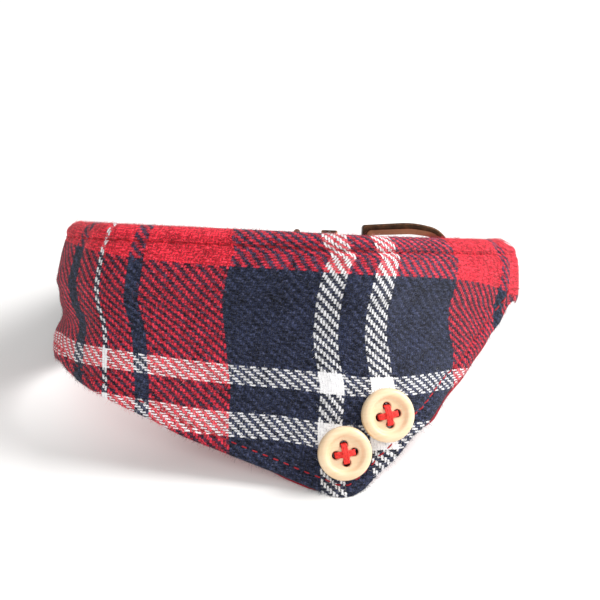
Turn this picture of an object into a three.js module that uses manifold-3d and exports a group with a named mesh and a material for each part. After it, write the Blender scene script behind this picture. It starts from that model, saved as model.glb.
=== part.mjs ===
// A dog's bandana collar, lying on its own on a table: a cloth-covered strap fastened in a loop by a
// pin buckle, with a two-ply plaid bandana folded over the strap's top edge and two wooden buttons
// sewn on near its point. Millimetres, +Z up, the bandana's face towards -Y.
//
// The collar is drawn upright first, in its own axes: x to the right, d (depth) from the bandana's
// face to the buckle at the back, and v (drop) down from the rim. It then leans back as one rigid
// thing until it stands on the point, the buckle and the cloth behind the left side.
import * as THREE from 'three';
import { mergeVertices } from 'three/addons/utils/BufferGeometryUtils.js';
import Module from 'manifold-3d';

const manifold = await Module();
manifold.setup();

// ---- Driving dimensions ---------------------------------------------------------------------

const LEAN = THREE.MathUtils.degToRad(32.1);
const RIM_HEIGHT = 61.25;
const BOX_CENTRE = { x: -1.78, y: 16.77 };

const CLEARANCE = 0.3;
const CLOTH = 1.2;
const LINING = 1.0;
const STRAP = { width: 15, thickness: 2.0, top: 2.2, edgeRound: 0.6, depth: 2.5 };

const STRAP_CENTRE = STRAP.top + STRAP.width / 2;
const STRAP_FOOT = STRAP.top + STRAP.width + CLEARANCE;

// The loop seen from above: corners of the cloth's outer face, each rounded.
const LOOP = [
  { x: 19.9, d: 0, r: 26 },
  { x: 70.6, d: 47.6, r: 15 },
  { x: 60, d: 80, r: 16 },
  { x: -50, d: 80, r: 28 },
  { x: -73.9, d: 24.9, r: 24 },
  { x: -55.2, d: 0, r: 19 },
];
const TIP_FOOT = 12.3;

// The bandana's lower edge: u runs round the loop from above the point, to the right, and v is down.
const EDGE = [
  { u: -168, v: 18.6 },
  { u: -158, v: 21.5 },
  { u: -148, v: 27.5 },
  { u: -138, v: 33.5 },
  { u: -122, v: 37.0 },
  { u: -103, v: 38.6 },
  { u: -88, v: 40.0 },
  { u: -82.5, v: 42.3 },
  { u: -66, v: 47.3 },
  { u: -58, v: 50.6 },
  { u: -52, v: 53.1 },
  { u: -43, v: 57.4 },
  { u: -33.5, v: 60.8 },
  { u: -24.5, v: 64.0 },
  { u: -17.8, v: 66.3 },
  { u: -10, v: 69.2 },
  { u: -3.5, v: 71.4 },
  { u: 0.8, v: 72.8 },
  { u: 3.6, v: 72.9 },
  { u: 7.8, v: 71.1 },
  { u: 11.2, v: 68.3 },
  { u: 13, v: 66.4 },
  { u: 22, v: 56.0 },
  { u: 28, v: 52.4 },
  { u: 38.2, v: 46.3 },
  { u: 48.5, v: 40.4 },
  { u: 56, v: 33.4 },
  { u: 61, v: 28.6 },
  { u: 65, v: 24.8 },
  { u: 67.8, v: 21.4 },
  { u: 71, v: 18.6 },
  { u: 92, v: 18.6 },
];
const COLUMN_ZONES = [
  { to: -148, step: 4 },
  { to: -102, step: 5 },
  { to: -48, step: 3.6 },
  { to: -14, step: 5.7 },
  { to: 24, step: 1.9 },
  { to: 60, step: 5 },
  { to: 92, step: 2.7 },
];

// Where the lining shows below the outer ply, and by how much: it rises over one stretch of u and
// fades over another.
const PEEPS = [
  { rise: [-118, -108], fade: [-20, -8], by: 0.7 },
  { rise: [20, 30], fade: [58, 64], by: 0.6 },
];

// Where the cloth swells out or sinks in: centre, spread each way, and how far it moves.
const FOLDS = [
  { u: -92, v: 29.3, du: 16, dv: 4.8, out: -1.8 },
  { u: -106, v: 32, du: 10, dv: 5.5, out: 3.3 },
  { u: -97, v: 38, du: 12, dv: 5, out: 0.7 },
  { u: -125, v: 31, du: 11, dv: 7, out: 1.7 },
  { u: -62, v: 46, du: 12, dv: 8, out: 1.0 },
  { u: 28, v: 58, du: 14, dv: 17, out: 6.5 },
  { u: 4, v: 76, du: 12, dv: 6, out: 2.4 },
];

// The two ends of the collar lean inwards, evenly from the strap's foot up to the rim: which side,
// where the lean starts and is full, and how far in it goes at the rim.
const SHOULDERS = [
  { side: -1, none: 45, full: 68, by: 3.0 },
  { side: 1, none: 53, full: 71, by: 1.9 },
];

const BUTTON = {
  radius: 7.5, thickness: 3.6, dishRadius: 4.7, dishDepth: 1.1, holeRadius: 1.1, holeRing: 2.6,
};
// Where each button is sewn on, how far its holes are turned, and how far it faces back to the front
// from the slope of the cloth, standing off it by its lift.
const BUTTONS = [
  { name: 'button_lower', thread: 'button_lower_thread', u: 2.4, v: 60.2, turn: 12, facing: 0, lift: 0.3 },
  { name: 'button_upper', thread: 'button_upper_thread', u: 13.9, v: 49.8, turn: 12, facing: 10, lift: 0.9 },
];
const THREAD_RADIUS = 0.8;
const THREAD_BEND = 0.9;

const BUCKLE = {
  heelX: 21.5, heelDepth: 76.35, farX: 47.8, farDepth: 80.79,
  centreV: 9.2, heelHalf: 11.7, crownAt: 14, crownHalf: 13.3, farHalf: 10.8,
  bar: 3.9, heelBar: 2.6, thickness: 2.8,
};
const TONGUE_RADIUS = 0.95;
// Slack round the heel bar, the gap between layers of the strap, and the strap's tightest bend.
const BUCKLE_SLACK = 0.25;
const LAYER_GAP = 0.4;
const STRAP_BEND = 2.4;
const KEEPER = { x: 9.6, width: 5.2, wall: 1.5, slack: 1.5 };
const RING = { x: -1, depth: 76.35, wire: 1.1, halfWidth: 9.2, arm: 3, centreV: 9.5 };
const TAIL_END = 3.4;
const SPARE_HOLES = [{ x: 53, r: 1.2 }];

const COLOURS = {
  plaid: 0xa32b3c, lining: 0x8f2234, strap: 0x2e3646, wood: 0xf0d9ae, thread: 0xd9232b, bronze: 0x6b4a2e,
};

// ---- Geometry helpers -----------------------------------------------------------------------

function smooth(from, to, value) {
  return THREE.MathUtils.smoothstep(value, from, to);
}

// A path of straight runs and arcs through the given corners. An open path starts and ends on its
// first and last corner, whose radius isn't used.
function roundedPath(corners, closed) {
  const points = corners.map((c) => new THREE.Vector2(c.x, c.d));
  const count = points.length;
  const runs = [];
  let last = closed ? null : points[0];
  for (let i = closed ? 0 : 1; i < (closed ? count : count - 1); i += 1) {
    const corner = points[i];
    const into = corner.clone().sub(points[(i + count - 1) % count]).normalize();
    const out = points[(i + 1) % count].clone().sub(corner).normalize();
    const turn = Math.atan2(into.cross(out), into.dot(out));
    const reach = corners[i].r * Math.tan(Math.abs(turn) / 2);
    const start = corner.clone().addScaledVector(into, -reach);
    const end = corner.clone().addScaledVector(out, reach);
    if (last) runs.push({ from: last, to: start, turn: 0, length: last.distanceTo(start) });
    runs.push({ from: start, into, turn, radius: corners[i].r, length: corners[i].r * Math.abs(turn) });
    last = end;
  }
  const close = closed ? runs[0].from : points[count - 1];
  runs.push({ from: last, to: close, turn: 0, length: last.distanceTo(close) });
  const length = runs.reduce((sum, run) => sum + run.length, 0);

  function at(distance) {
    let s = closed ? THREE.MathUtils.euclideanModulo(distance, length) : distance;
    let run = runs[0];
    for (run of runs) {
      if (s <= run.length) break;
      s -= run.length;
    }
    if (run.turn === 0) {
      const along = run.to.clone().sub(run.from).normalize();
      return { x: run.from.x + along.x * s, d: run.from.y + along.y * s, nx: along.y, nd: -along.x };
    }
    const angle = (Math.sign(run.turn) * s) / run.radius;
    const side = Math.sign(run.turn) * run.radius;
    const centre = { x: run.from.x - run.into.y * side, d: run.from.y + run.into.x * side };
    const along = run.into.clone().rotateAround(new THREE.Vector2(), angle);
    return { x: centre.x + along.y * side, d: centre.d - along.x * side, nx: along.y, nd: -along.x };
  }
  return { at, length, runs };
}

const loop = roundedPath(LOOP, true);

// How far round the loop the point of the bandana stands.
function footOfTip() {
  let s = loop.length - 60;
  while (loop.at(s).x < TIP_FOOT) s += 0.05;
  return s;
}
const TIP_AT = footOfTip();

// The value of a table's column at u, on a smooth curve through its rows.
function lookUp(table, u) {
  const last = table.length - 1;
  let i = 0;
  while (i < last - 1 && u > table[i + 1].u) i += 1;
  const slope = (a, b) => (table[b].v - table[a].v) / (table[b].u - table[a].u);
  const mean = (k) => {
    if (k === 0 || k === last) return slope(Math.max(k - 1, 0), Math.min(k + 1, last));
    const before = slope(k - 1, k);
    const after = slope(k, k + 1);
    return before * after <= 0 ? 0 : (2 * before * after) / (before + after);
  };
  const span = table[i + 1].u - table[i].u;
  const f = THREE.MathUtils.clamp((u - table[i].u) / span, 0, 1);
  const rise = f * f * (3 - 2 * f);
  const bendIn = span * mean(i) * f * (1 - f) * (1 - f);
  const bendOut = span * mean(i + 1) * f * f * (1 - f);
  return table[i].v + (table[i + 1].v - table[i].v) * rise + bendIn - bendOut;
}

// A point of the upright collar, "out" millimetres outside the loop's outer line.
function clothPoint(u, v, out) {
  const p = loop.at(TIP_AT + u);
  return new THREE.Vector3(p.x + p.nx * out, p.d + p.nd * out, -v);
}

// The drop at which the leaning collar meets the table, for a point at this depth.
function floorDrop(depth) {
  return (RIM_HEIGHT - depth * Math.sin(LEAN)) / Math.cos(LEAN);
}

function geometryFrom(points, triangles) {
  const geometry = new THREE.BufferGeometry();
  geometry.setAttribute('position', new THREE.Float32BufferAttribute(points.flatMap((p) => p.toArray()), 3));
  let volume = 0;
  for (let i = 0; i < triangles.length; i += 3) {
    const [a, b, c] = [points[triangles[i]], points[triangles[i + 1]], points[triangles[i + 2]]];
    volume += a.dot(b.clone().cross(c));
  }
  geometry.setIndex(volume > 0 ? triangles : triangles.slice().reverse());
  return geometry;
}

// A closed wall between two grids of points of one size, given as [column][row].
function wallBetween(front, back) {
  const columns = front.length;
  const rows = front[0].length;
  const points = [...front.flat(), ...back.flat()];
  const triangles = [];
  const quad = (a, b, c, d) => triangles.push(a, b, c, a, c, d);
  const f = (i, j) => i * rows + j;
  const b = (i, j) => columns * rows + i * rows + j;
  for (let i = 0; i < columns - 1; i += 1) {
    for (let j = 0; j < rows - 1; j += 1) {
      quad(f(i, j), f(i + 1, j), f(i + 1, j + 1), f(i, j + 1));
      quad(b(i, j), b(i, j + 1), b(i + 1, j + 1), b(i + 1, j));
    }
    quad(f(i, 0), b(i, 0), b(i + 1, 0), f(i + 1, 0));
    quad(f(i, rows - 1), f(i + 1, rows - 1), b(i + 1, rows - 1), b(i, rows - 1));
  }
  for (let j = 0; j < rows - 1; j += 1) {
    quad(f(0, j), f(0, j + 1), b(0, j + 1), b(0, j));
    quad(f(columns - 1, j), b(columns - 1, j), b(columns - 1, j + 1), f(columns - 1, j + 1));
  }
  return geometryFrom(points, triangles);
}

// A closed bar: rings of points joined one to the next, with a cap on each end or, if it is a ring,
// with the last joined to the first.
function barThrough(rings, isRing) {
  const sides = rings[0].length;
  const triangles = [];
  const joints = isRing ? rings.length : rings.length - 1;
  for (let i = 0; i < joints; i += 1) {
    const next = ((i + 1) % rings.length) * sides;
    for (let k = 0; k < sides; k += 1) {
      const beside = (k + 1) % sides;
      triangles.push(i * sides + k, i * sides + beside, next + beside);
      triangles.push(i * sides + k, next + beside, next + k);
    }
  }
  const end = (rings.length - 1) * sides;
  for (let k = 1; !isRing && k < sides - 1; k += 1) {
    triangles.push(0, k + 1, k, end, end + k, end + k + 1);
  }
  return geometryFrom(rings.flat(), triangles);
}

// Places along a path: both ends of every run, and a step for each 15 degrees of an arc or 8 mm of
// a straight.
function stationsOf(path) {
  const stations = [0];
  let start = 0;
  for (const run of path.runs) {
    const finest = run.turn === 0 ? run.length / 8 : Math.abs(run.turn) / (Math.PI / 12);
    const steps = Math.max(1, Math.ceil(finest));
    for (let i = 1; i <= steps; i += 1) {
      const next = start + (run.length * i) / steps;
      if (next > stations[stations.length - 1] + 0.02) stations.push(next);
    }
    start += run.length;
  }
  return stations;
}

// A section carried along a path. Each of its points stands "out" beside the path, and "aside"
// square to the path's plane; toPoint turns the three into a point of the collar.
function sweep(path, section, toPoint, isRing = false) {
  const stations = stationsOf(path);
  if (isRing) stations.pop();
  const rings = stations.map((s) => {
    const p = path.at(s);
    return section.map(({ out, aside }) => toPoint(p.x + p.nx * out, p.d + p.nd * out, aside));
  });
  return barThrough(rings, isRing);
}

function roundSection(radius, sides, aside = 0) {
  return Array.from({ length: sides }, (_, k) => {
    const angle = (2 * Math.PI * k) / sides;
    return { out: radius * Math.cos(angle), aside: aside + radius * Math.sin(angle) };
  });
}

const acrossLoop = (x, d, v) => new THREE.Vector3(x, d, -v);

function toSolid(geometry) {
  const bare = geometry.clone();
  bare.deleteAttribute('normal');
  bare.deleteAttribute('uv');
  const merged = mergeVertices(bare, 1e-4);
  return new manifold.Manifold(new manifold.Mesh({
    numProp: 3,
    vertProperties: new Float32Array(merged.attributes.position.array),
    triVerts: new Uint32Array(merged.index.array),
  }));
}

function fromSolid(solid) {
  const mesh = solid.getMesh();
  const geometry = new THREE.BufferGeometry();
  geometry.setAttribute('position', new THREE.BufferAttribute(new Float32Array(mesh.vertProperties), 3));
  geometry.setIndex(new THREE.BufferAttribute(new Uint32Array(mesh.triVerts), 1));
  return geometry;
}

// ---- Bandana --------------------------------------------------------------------------------

function foldsAt(u, v) {
  return FOLDS.reduce((sum, fold) => {
    const away = ((u - fold.u) / fold.du) ** 2 + ((v - fold.v) / fold.dv) ** 2;
    return sum + fold.out * Math.exp(-away);
  }, 0);
}

// The outer ply's face: over the strap it stands on the loop's outer line, and it draws in below.
function faceOut(u, v) {
  return foldsAt(u, v) * smooth(18, 26, v) - smooth(16.5, 20.5, v);
}

// The lining lies against the strap's inner face, and against the outer ply below the strap.
function liningOut(u, v) {
  const behindStrap = -STRAP.depth - STRAP.thickness / 2 - CLEARANCE;
  const behindCloth = faceOut(u, v) - CLOTH - CLEARANCE;
  return THREE.MathUtils.lerp(behindStrap, behindCloth, smooth(17.6, 20.5, v));
}

function columnsOfCloth() {
  const columns = [EDGE[0].u];
  for (const zone of COLUMN_ZONES) {
    const start = columns[columns.length - 1];
    const count = Math.round((zone.to - start) / zone.step);
    for (let i = 1; i <= count; i += 1) columns.push(start + ((zone.to - start) * i) / count);
  }
  return columns;
}

// Rows from the top of the hanging cloth to its edge: over the strap, past its foot, and below.
function rowsOfCloth(top, edge, overStrap, below) {
  const foot = STRAP.top + STRAP.width + 0.4;
  const split = foot + Math.min(2.9, 0.35 * (edge - foot));
  const rows = [];
  for (let i = 0; i <= overStrap; i += 1) rows.push(top + ((foot - top) * i) / overStrap);
  for (let i = 0; i <= below; i += 1) rows.push(split + ((edge - split) * i) / below);
  return rows;
}

// One point of a ply, and where its last row would pass through the table, the point on the table.
function plyPoint(u, v, outAt, depthIn, isEdge) {
  let drop = v;
  let point = clothPoint(u, drop, outAt(u, drop) - depthIn);
  for (let pass = 0; isEdge && pass < 8; pass += 1) {
    drop = Math.min(v, floorDrop(point.y));
    point = clothPoint(u, drop, outAt(u, drop) - depthIn);
  }
  if (isEdge && v > floorDrop(point.y)) point.z = -floorDrop(point.y);
  return point;
}

const RIM_ROLL = STRAP.depth;
const HEM_DEPTH = 6;

function bandanaFront() {
  const rollSteps = 5;
  const outer = [];
  const inner = [];
  for (const u of columnsOfCloth()) {
    const front = [];
    const back = [];
    const hemOut = -2 * RIM_ROLL;
    front.push(clothPoint(u, HEM_DEPTH, hemOut));
    back.push(clothPoint(u, HEM_DEPTH, hemOut + CLOTH));
    for (let i = 0; i <= rollSteps; i += 1) {
      const angle = (Math.PI * i) / rollSteps;
      const [across, up] = [-Math.cos(angle), Math.sin(angle)];
      const small = RIM_ROLL - CLOTH;
      front.push(clothPoint(u, RIM_ROLL - up * RIM_ROLL, -RIM_ROLL + across * RIM_ROLL));
      back.push(clothPoint(u, RIM_ROLL - up * small, -RIM_ROLL + across * small));
    }
    const rows = rowsOfCloth(RIM_ROLL, lookUp(EDGE, u), 3, 7).slice(1);
    rows.forEach((v, j) => {
      const isEdge = j === rows.length - 1;
      front.push(plyPoint(u, v, faceOut, 0, isEdge));
      back.push(plyPoint(u, v, faceOut, CLOTH, isEdge));
    });
    outer.push(front);
    inner.push(back);
  }
  return wallBetween(outer, inner);
}

function peepAt(u) {
  const share = ({ rise, fade }) => smooth(...rise, u) * (1 - smooth(...fade, u));
  return PEEPS.reduce((sum, peep) => sum + peep.by * share(peep), 0);
}

function bandanaLining() {
  const outer = [];
  const inner = [];
  for (const u of columnsOfCloth()) {
    const rows = rowsOfCloth(HEM_DEPTH + CLEARANCE, lookUp(EDGE, u) + peepAt(u), 2, 6);
    const ply = (depthIn) => rows.map((v, j) => plyPoint(u, v, liningOut, depthIn, j === rows.length - 1));
    outer.push(ply(0));
    inner.push(ply(LINING));
  }
  return wallBetween(outer, inner);
}

// ---- Strap ----------------------------------------------------------------------------------

// The loop's corners moved inwards, with radii to suit.
function insetCorner(index, by) {
  const count = LOOP.length;
  const at = (k) => new THREE.Vector2(LOOP[(k + count) % count].x, LOOP[(k + count) % count].d);
  const into = at(index).sub(at(index - 1)).normalize();
  const out = at(index + 1).sub(at(index)).normalize();
  const half = Math.acos(THREE.MathUtils.clamp(into.dot(out), -1, 1)) / 2;
  const inwards = new THREE.Vector2(-into.y - out.y, into.x + out.x).normalize();
  const corner = at(index).addScaledVector(inwards, by / Math.cos(half));
  return { x: corner.x, d: corner.y, r: LOOP[index].r - by };
}

function strapPath() {
  const outerLayer = LOOP[2].d - STRAP.depth;
  const foldLayer = 2 * BUCKLE.heelDepth - outerLayer;
  const turn = BUCKLE.thickness / 2 + BUCKLE_SLACK + CLEARANCE + STRAP.thickness / 2;
  const swell = RING.wire + CLEARANCE + STRAP.thickness / 2;
  const overBuckle = BUCKLE.heelDepth + turn + STRAP.thickness + LAYER_GAP;
  const overStrap = outerLayer + STRAP.thickness + LAYER_GAP;
  const { heelX, heelDepth } = BUCKLE;
  return roundedPath([
    { x: RING.x - 10, d: foldLayer },
    { x: RING.x - 4, d: foldLayer, r: STRAP_BEND },
    { x: RING.x - 1.4, d: RING.depth - swell, r: STRAP_BEND },
    { x: RING.x + 1.4, d: RING.depth - swell, r: STRAP_BEND },
    { x: RING.x + 4, d: foldLayer, r: STRAP_BEND },
    { x: heelX - 5.5, d: foldLayer, r: STRAP_BEND },
    { x: heelX - 1.2, d: heelDepth - turn, r: STRAP_BEND },
    { x: heelX + turn, d: heelDepth - turn, r: turn },
    { x: heelX + turn, d: heelDepth + turn, r: turn },
    { x: heelX - 1.2, d: heelDepth + turn, r: STRAP_BEND },
    { x: heelX - 5.5, d: outerLayer, r: STRAP_BEND },
    { x: RING.x + 4, d: outerLayer, r: STRAP_BEND },
    { x: RING.x + 1.4, d: RING.depth + swell, r: STRAP_BEND },
    { x: RING.x - 1.4, d: RING.depth + swell, r: STRAP_BEND },
    { x: RING.x - 4, d: outerLayer, r: STRAP_BEND },
    insetCorner(3, STRAP.depth),
    insetCorner(4, STRAP.depth),
    insetCorner(5, STRAP.depth),
    insetCorner(0, STRAP.depth),
    insetCorner(1, STRAP.depth),
    insetCorner(2, STRAP.depth),
    { x: BUCKLE.farX - 2.4, d: outerLayer, r: 4 },
    { x: heelX + 1.5, d: overBuckle, r: 6 },
    { x: heelX - 3, d: overBuckle, r: 4 },
    { x: heelX - 9, d: overStrap, r: 5 },
    { x: TAIL_END, d: overStrap },
  ], false);
}

function strapSection() {
  const { width, thickness, edgeRound, top } = STRAP;
  const corners = [
    { side: 1, end: top + edgeRound, from: -90 },
    { side: 1, end: top + width - edgeRound, from: 0 },
    { side: -1, end: top + width - edgeRound, from: 90 },
    { side: -1, end: top + edgeRound, from: 180 },
  ];
  return corners.flatMap(({ side, end, from }) => [from, from + 90].map((degrees) => {
    const angle = THREE.MathUtils.degToRad(degrees);
    const out = side * (thickness / 2 - edgeRound) + edgeRound * Math.cos(angle);
    return { out, aside: end + edgeRound * Math.sin(angle) };
  }));
}

function strap() {
  let solid = toSolid(sweep(strapPath(), strapSection(), acrossLoop));
  solid = solid.subtract(toSolid(tongue(TONGUE_RADIUS + CLEARANCE)));
  for (const hole of SPARE_HOLES) {
    const punch = new THREE.CylinderGeometry(hole.r, hole.r, 8, 10);
    punch.translate(hole.x, LOOP[2].d - STRAP.depth, -STRAP_CENTRE);
    solid = solid.subtract(toSolid(punch));
  }
  return fromSolid(solid);
}

// ---- Buckle, keeper and ring ----------------------------------------------------------------

const BUCKLE_TURN = Math.atan2(BUCKLE.farDepth - BUCKLE.heelDepth, BUCKLE.farX - BUCKLE.heelX);
const BUCKLE_SPAN = Math.hypot(BUCKLE.farDepth - BUCKLE.heelDepth, BUCKLE.farX - BUCKLE.heelX);

// The frame's outline, "inset" inside the outermost one: square at the bar that the strap is folded
// round, highest at the crown, and round at the end that the tongue meets.
function buckleOutline(inset, left) {
  const { crownAt } = BUCKLE;
  const right = BUCKLE_SPAN + BUCKLE.bar / 2 - inset;
  const heel = BUCKLE.heelHalf - inset * 0.84;
  const crown = BUCKLE.crownHalf - inset;
  const far = BUCKLE.farHalf - inset * 0.6;
  const bend = 4.7;
  const corner = 8.2 - inset * 1.1;
  const rise = (crown - heel) / (crownAt - left);
  const fall = (crown - far) / (right - crownAt);
  const shape = new THREE.Shape();
  shape.moveTo(left, -heel);
  shape.lineTo(crownAt - bend, -crown + rise * bend);
  shape.quadraticCurveTo(crownAt, -crown, crownAt + bend, -crown + fall * bend);
  shape.lineTo(right - corner, -far - fall * corner);
  shape.quadraticCurveTo(right, -far, right, -far + corner);
  shape.lineTo(right, far - corner);
  shape.quadraticCurveTo(right, far, right - corner, far + fall * corner);
  shape.lineTo(crownAt + bend, crown - fall * bend);
  shape.quadraticCurveTo(crownAt, crown, crownAt - bend, crown - rise * bend);
  shape.lineTo(left, heel);
  shape.closePath();
  return shape;
}

function buckleFrame() {
  const bevel = 0.5;
  const shape = buckleOutline(bevel, -BUCKLE.heelBar / 2 + bevel);
  shape.holes.push(buckleOutline(BUCKLE.bar - bevel, BUCKLE.heelBar / 2 - bevel));
  const geometry = new THREE.ExtrudeGeometry(shape, {
    depth: BUCKLE.thickness - 2 * bevel, curveSegments: 6,
    bevelEnabled: true, bevelSize: bevel, bevelThickness: bevel, bevelSegments: 1,
  });
  geometry.translate(0, 0, -BUCKLE.thickness / 2 + bevel);
  geometry.rotateX(Math.PI / 2);
  geometry.rotateZ(BUCKLE_TURN);
  geometry.translate(BUCKLE.heelX, BUCKLE.heelDepth, -BUCKLE.centreV);
  return fromSolid(toSolid(geometry));
}

// The tongue is a rod bent round the heel bar, whose tip lies on the frame's far bar.
function tongue(radius) {
  const { heelX, heelDepth, farX, farDepth } = BUCKLE;
  const eye = BUCKLE.thickness / 2 + BUCKLE_SLACK + CLEARANCE + TONGUE_RADIUS;
  const onBar = farDepth + BUCKLE.thickness / 2 + CLEARANCE + TONGUE_RADIUS + 0.05;
  const path = roundedPath([
    { x: heelX + 1.4, d: heelDepth - eye },
    { x: heelX - eye, d: heelDepth - eye, r: eye - 0.1 },
    { x: heelX - eye, d: heelDepth + eye, r: eye - 0.1 },
    { x: heelX + eye - 0.6, d: heelDepth + eye - 0.4, r: 1.4 },
    { x: heelX + 13, d: heelDepth + 3.0, r: 8 },
    { x: farX - 1.2, d: onBar, r: 8 },
    { x: farX + 2.4, d: onBar + 0.1 },
  ], false);
  return sweep(path, roundSection(radius, 8, STRAP_CENTRE), acrossLoop);
}

// The keeper is a flat metal band bent into a box round the strap and its free end.
function keeper() {
  const inner = {
    low: 2 * BUCKLE.heelDepth - LOOP[2].d + STRAP.depth - STRAP.thickness / 2 - CLEARANCE,
    high: LOOP[2].d - STRAP.depth + 1.5 * STRAP.thickness + LAYER_GAP + CLEARANCE,
    half: STRAP.width / 2 + KEEPER.slack,
  };
  const box = (grow, round) => {
    const shape = new THREE.Shape();
    const [x0, x1] = [inner.low - grow, inner.high + grow];
    const y1 = inner.half + grow;
    shape.moveTo(x0 + round, -y1);
    shape.lineTo(x1 - round, -y1);
    shape.quadraticCurveTo(x1, -y1, x1, -y1 + round);
    shape.lineTo(x1, y1 - round);
    shape.quadraticCurveTo(x1, y1, x1 - round, y1);
    shape.lineTo(x0 + round, y1);
    shape.quadraticCurveTo(x0, y1, x0, y1 - round);
    shape.lineTo(x0, -y1 + round);
    shape.quadraticCurveTo(x0, -y1, x0 + round, -y1);
    return shape;
  };
  const shape = box(KEEPER.wall, 1.6);
  shape.holes.push(box(0, 0.5));
  const geometry = new THREE.ExtrudeGeometry(shape, {
    depth: KEEPER.width, curveSegments: 3, bevelEnabled: false,
  });
  geometry.translate(0, 0, -KEEPER.width / 2);
  geometry.applyMatrix4(new THREE.Matrix4().makeBasis(
    new THREE.Vector3(0, 1, 0),
    new THREE.Vector3(0, 0, 1),
    new THREE.Vector3(1, 0, 0),
  ));
  geometry.translate(KEEPER.x, 0, -STRAP_CENTRE);
  return fromSolid(toSolid(geometry));
}

// The ring's straight bar runs down inside the fold of the strap, and its bow stands out behind.
function dRing() {
  const { depth, halfWidth, arm, centreV, wire } = RING;
  const bow = depth + arm + halfWidth;
  const path = roundedPath([
    { x: depth, d: centreV - halfWidth, r: 1.6 },
    { x: bow, d: centreV - halfWidth, r: halfWidth - 0.01 },
    { x: bow, d: centreV + halfWidth, r: halfWidth - 0.01 },
    { x: depth, d: centreV + halfWidth, r: 1.6 },
  ], true);
  const toPoint = (d, v, aside) => new THREE.Vector3(RING.x + aside, d, -v);
  return sweep(path, roundSection(wire, 8), toPoint, true);
}

// ---- Buttons --------------------------------------------------------------------------------

// Places a button's own axes on the bandana: z square to the cloth under its middle, and x along it.
function ontoBandana({ u, v, turn, facing, lift }) {
  const reach = BUTTON.radius / 2;
  const onFace = (du, dv) => clothPoint(u + du, v + dv, faceOut(u + du, v + dv));
  const along = onFace(reach, 0).sub(onFace(-reach, 0)).normalize();
  const down = onFace(0, reach).sub(onFace(0, -reach));
  const out = down.cross(along).normalize();
  const place = new THREE.Matrix4().makeBasis(along, out.clone().cross(along), out);
  place.setPosition(onFace(0, 0).addScaledVector(out, lift));
  place.multiply(new THREE.Matrix4().makeRotationY(-THREE.MathUtils.degToRad(facing)));
  return place.multiply(new THREE.Matrix4().makeRotationZ(THREE.MathUtils.degToRad(turn)));
}

function button(spot) {
  const { radius, thickness, dishRadius, dishDepth, holeRadius, holeRing } = BUTTON;
  const dish = thickness - dishDepth;
  const profile = [
    [0, 0], [radius - 1.1, 0], [radius - 0.2, 0.6], [radius, 1.4], [radius, thickness - 1.1],
    [radius - 0.4, thickness - 0.3], [radius - 1.1, thickness], [radius - 1.9, thickness - 0.15],
    [dishRadius, dish + 0.1], [dishRadius - 0.6, dish], [0, dish],
  ];
  const turned = new THREE.LatheGeometry(profile.map(([r, z]) => new THREE.Vector2(r, z)), 28);
  turned.rotateX(Math.PI / 2);
  let solid = toSolid(turned);
  for (let k = 0; k < 4; k += 1) {
    const hole = new THREE.CylinderGeometry(holeRadius, holeRadius, 3 * thickness, 10);
    hole.rotateX(Math.PI / 2);
    hole.translate(holeRing * Math.cos((k * Math.PI) / 2), holeRing * Math.sin((k * Math.PI) / 2), 0);
    solid = solid.subtract(toSolid(hole));
  }
  return fromSolid(solid).applyMatrix4(ontoBandana(spot));
}

// The thread makes a cross between the holes and goes down into them.
function buttonThread(spot) {
  const { thickness, dishDepth, holeRing } = BUTTON;
  const above = thickness - dishDepth + CLEARANCE + THREAD_RADIUS;
  const path = roundedPath([
    { x: -holeRing, d: 0.5 },
    { x: -holeRing, d: above, r: THREAD_BEND },
    { x: holeRing, d: above, r: THREAD_BEND },
    { x: holeRing, d: 0.5 },
  ], false);
  const upright = (x, z, aside) => new THREE.Vector3(x, aside, z);
  const staple = sweep(path, roundSection(THREAD_RADIUS, 8), upright);
  const crossing = staple.clone().rotateZ(Math.PI / 2);
  return fromSolid(toSolid(staple).add(toSolid(crossing))).applyMatrix4(ontoBandana(spot));
}

// ---- The collar -----------------------------------------------------------------------------

function finish(color, roughness, metalness = 0) {
  return new THREE.MeshStandardMaterial({ color, roughness, metalness });
}

const bronze = finish(COLOURS.bronze, 0.35, 1);
const upright = new THREE.Group();
upright.rotation.x = -LEAN;
upright.position.z = RIM_HEIGHT;

// How far the collar's ends lean inwards at a point of the upright collar.
function leanIn(x, v) {
  const rise = Math.max(0, 1 - v / STRAP_FOOT);
  return SHOULDERS.reduce((sum, { side, none, full, by }) => {
    return sum + side * by * rise * smooth(none, full, side * x);
  }, 0);
}

function addPiece(name, geometry, material) {
  const { position } = geometry.attributes;
  for (let i = 0; i < position.count; i += 1) {
    position.setX(i, position.getX(i) - leanIn(position.getX(i), -position.getZ(i)));
  }
  const mesh = new THREE.Mesh(geometry, material);
  mesh.name = name;
  upright.add(mesh);
}

addPiece('bandana_front', bandanaFront(), finish(COLOURS.plaid, 0.95));
addPiece('bandana_lining', bandanaLining(), finish(COLOURS.lining, 0.95));
addPiece('strap', strap(), finish(COLOURS.strap, 0.9));
addPiece('buckle_frame', buckleFrame(), bronze);
addPiece('buckle_tongue', tongue(TONGUE_RADIUS), bronze);
addPiece('keeper', keeper(), bronze);
addPiece('d_ring', dRing(), bronze);
for (const spot of BUTTONS) {
  addPiece(spot.name, button(spot), finish(COLOURS.wood, 0.45));
  addPiece(spot.thread, buttonThread(spot), finish(COLOURS.thread, 0.8));
}

const collar = new THREE.Group();
collar.position.set(-BOX_CENTRE.x, -BOX_CENTRE.y, 0);
collar.add(upright);

export default collar;
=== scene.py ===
"""A dog's plaid bandana collar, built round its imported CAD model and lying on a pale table."""
import math

import bpy
import numpy as np
from mathutils import Matrix, Vector


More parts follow.
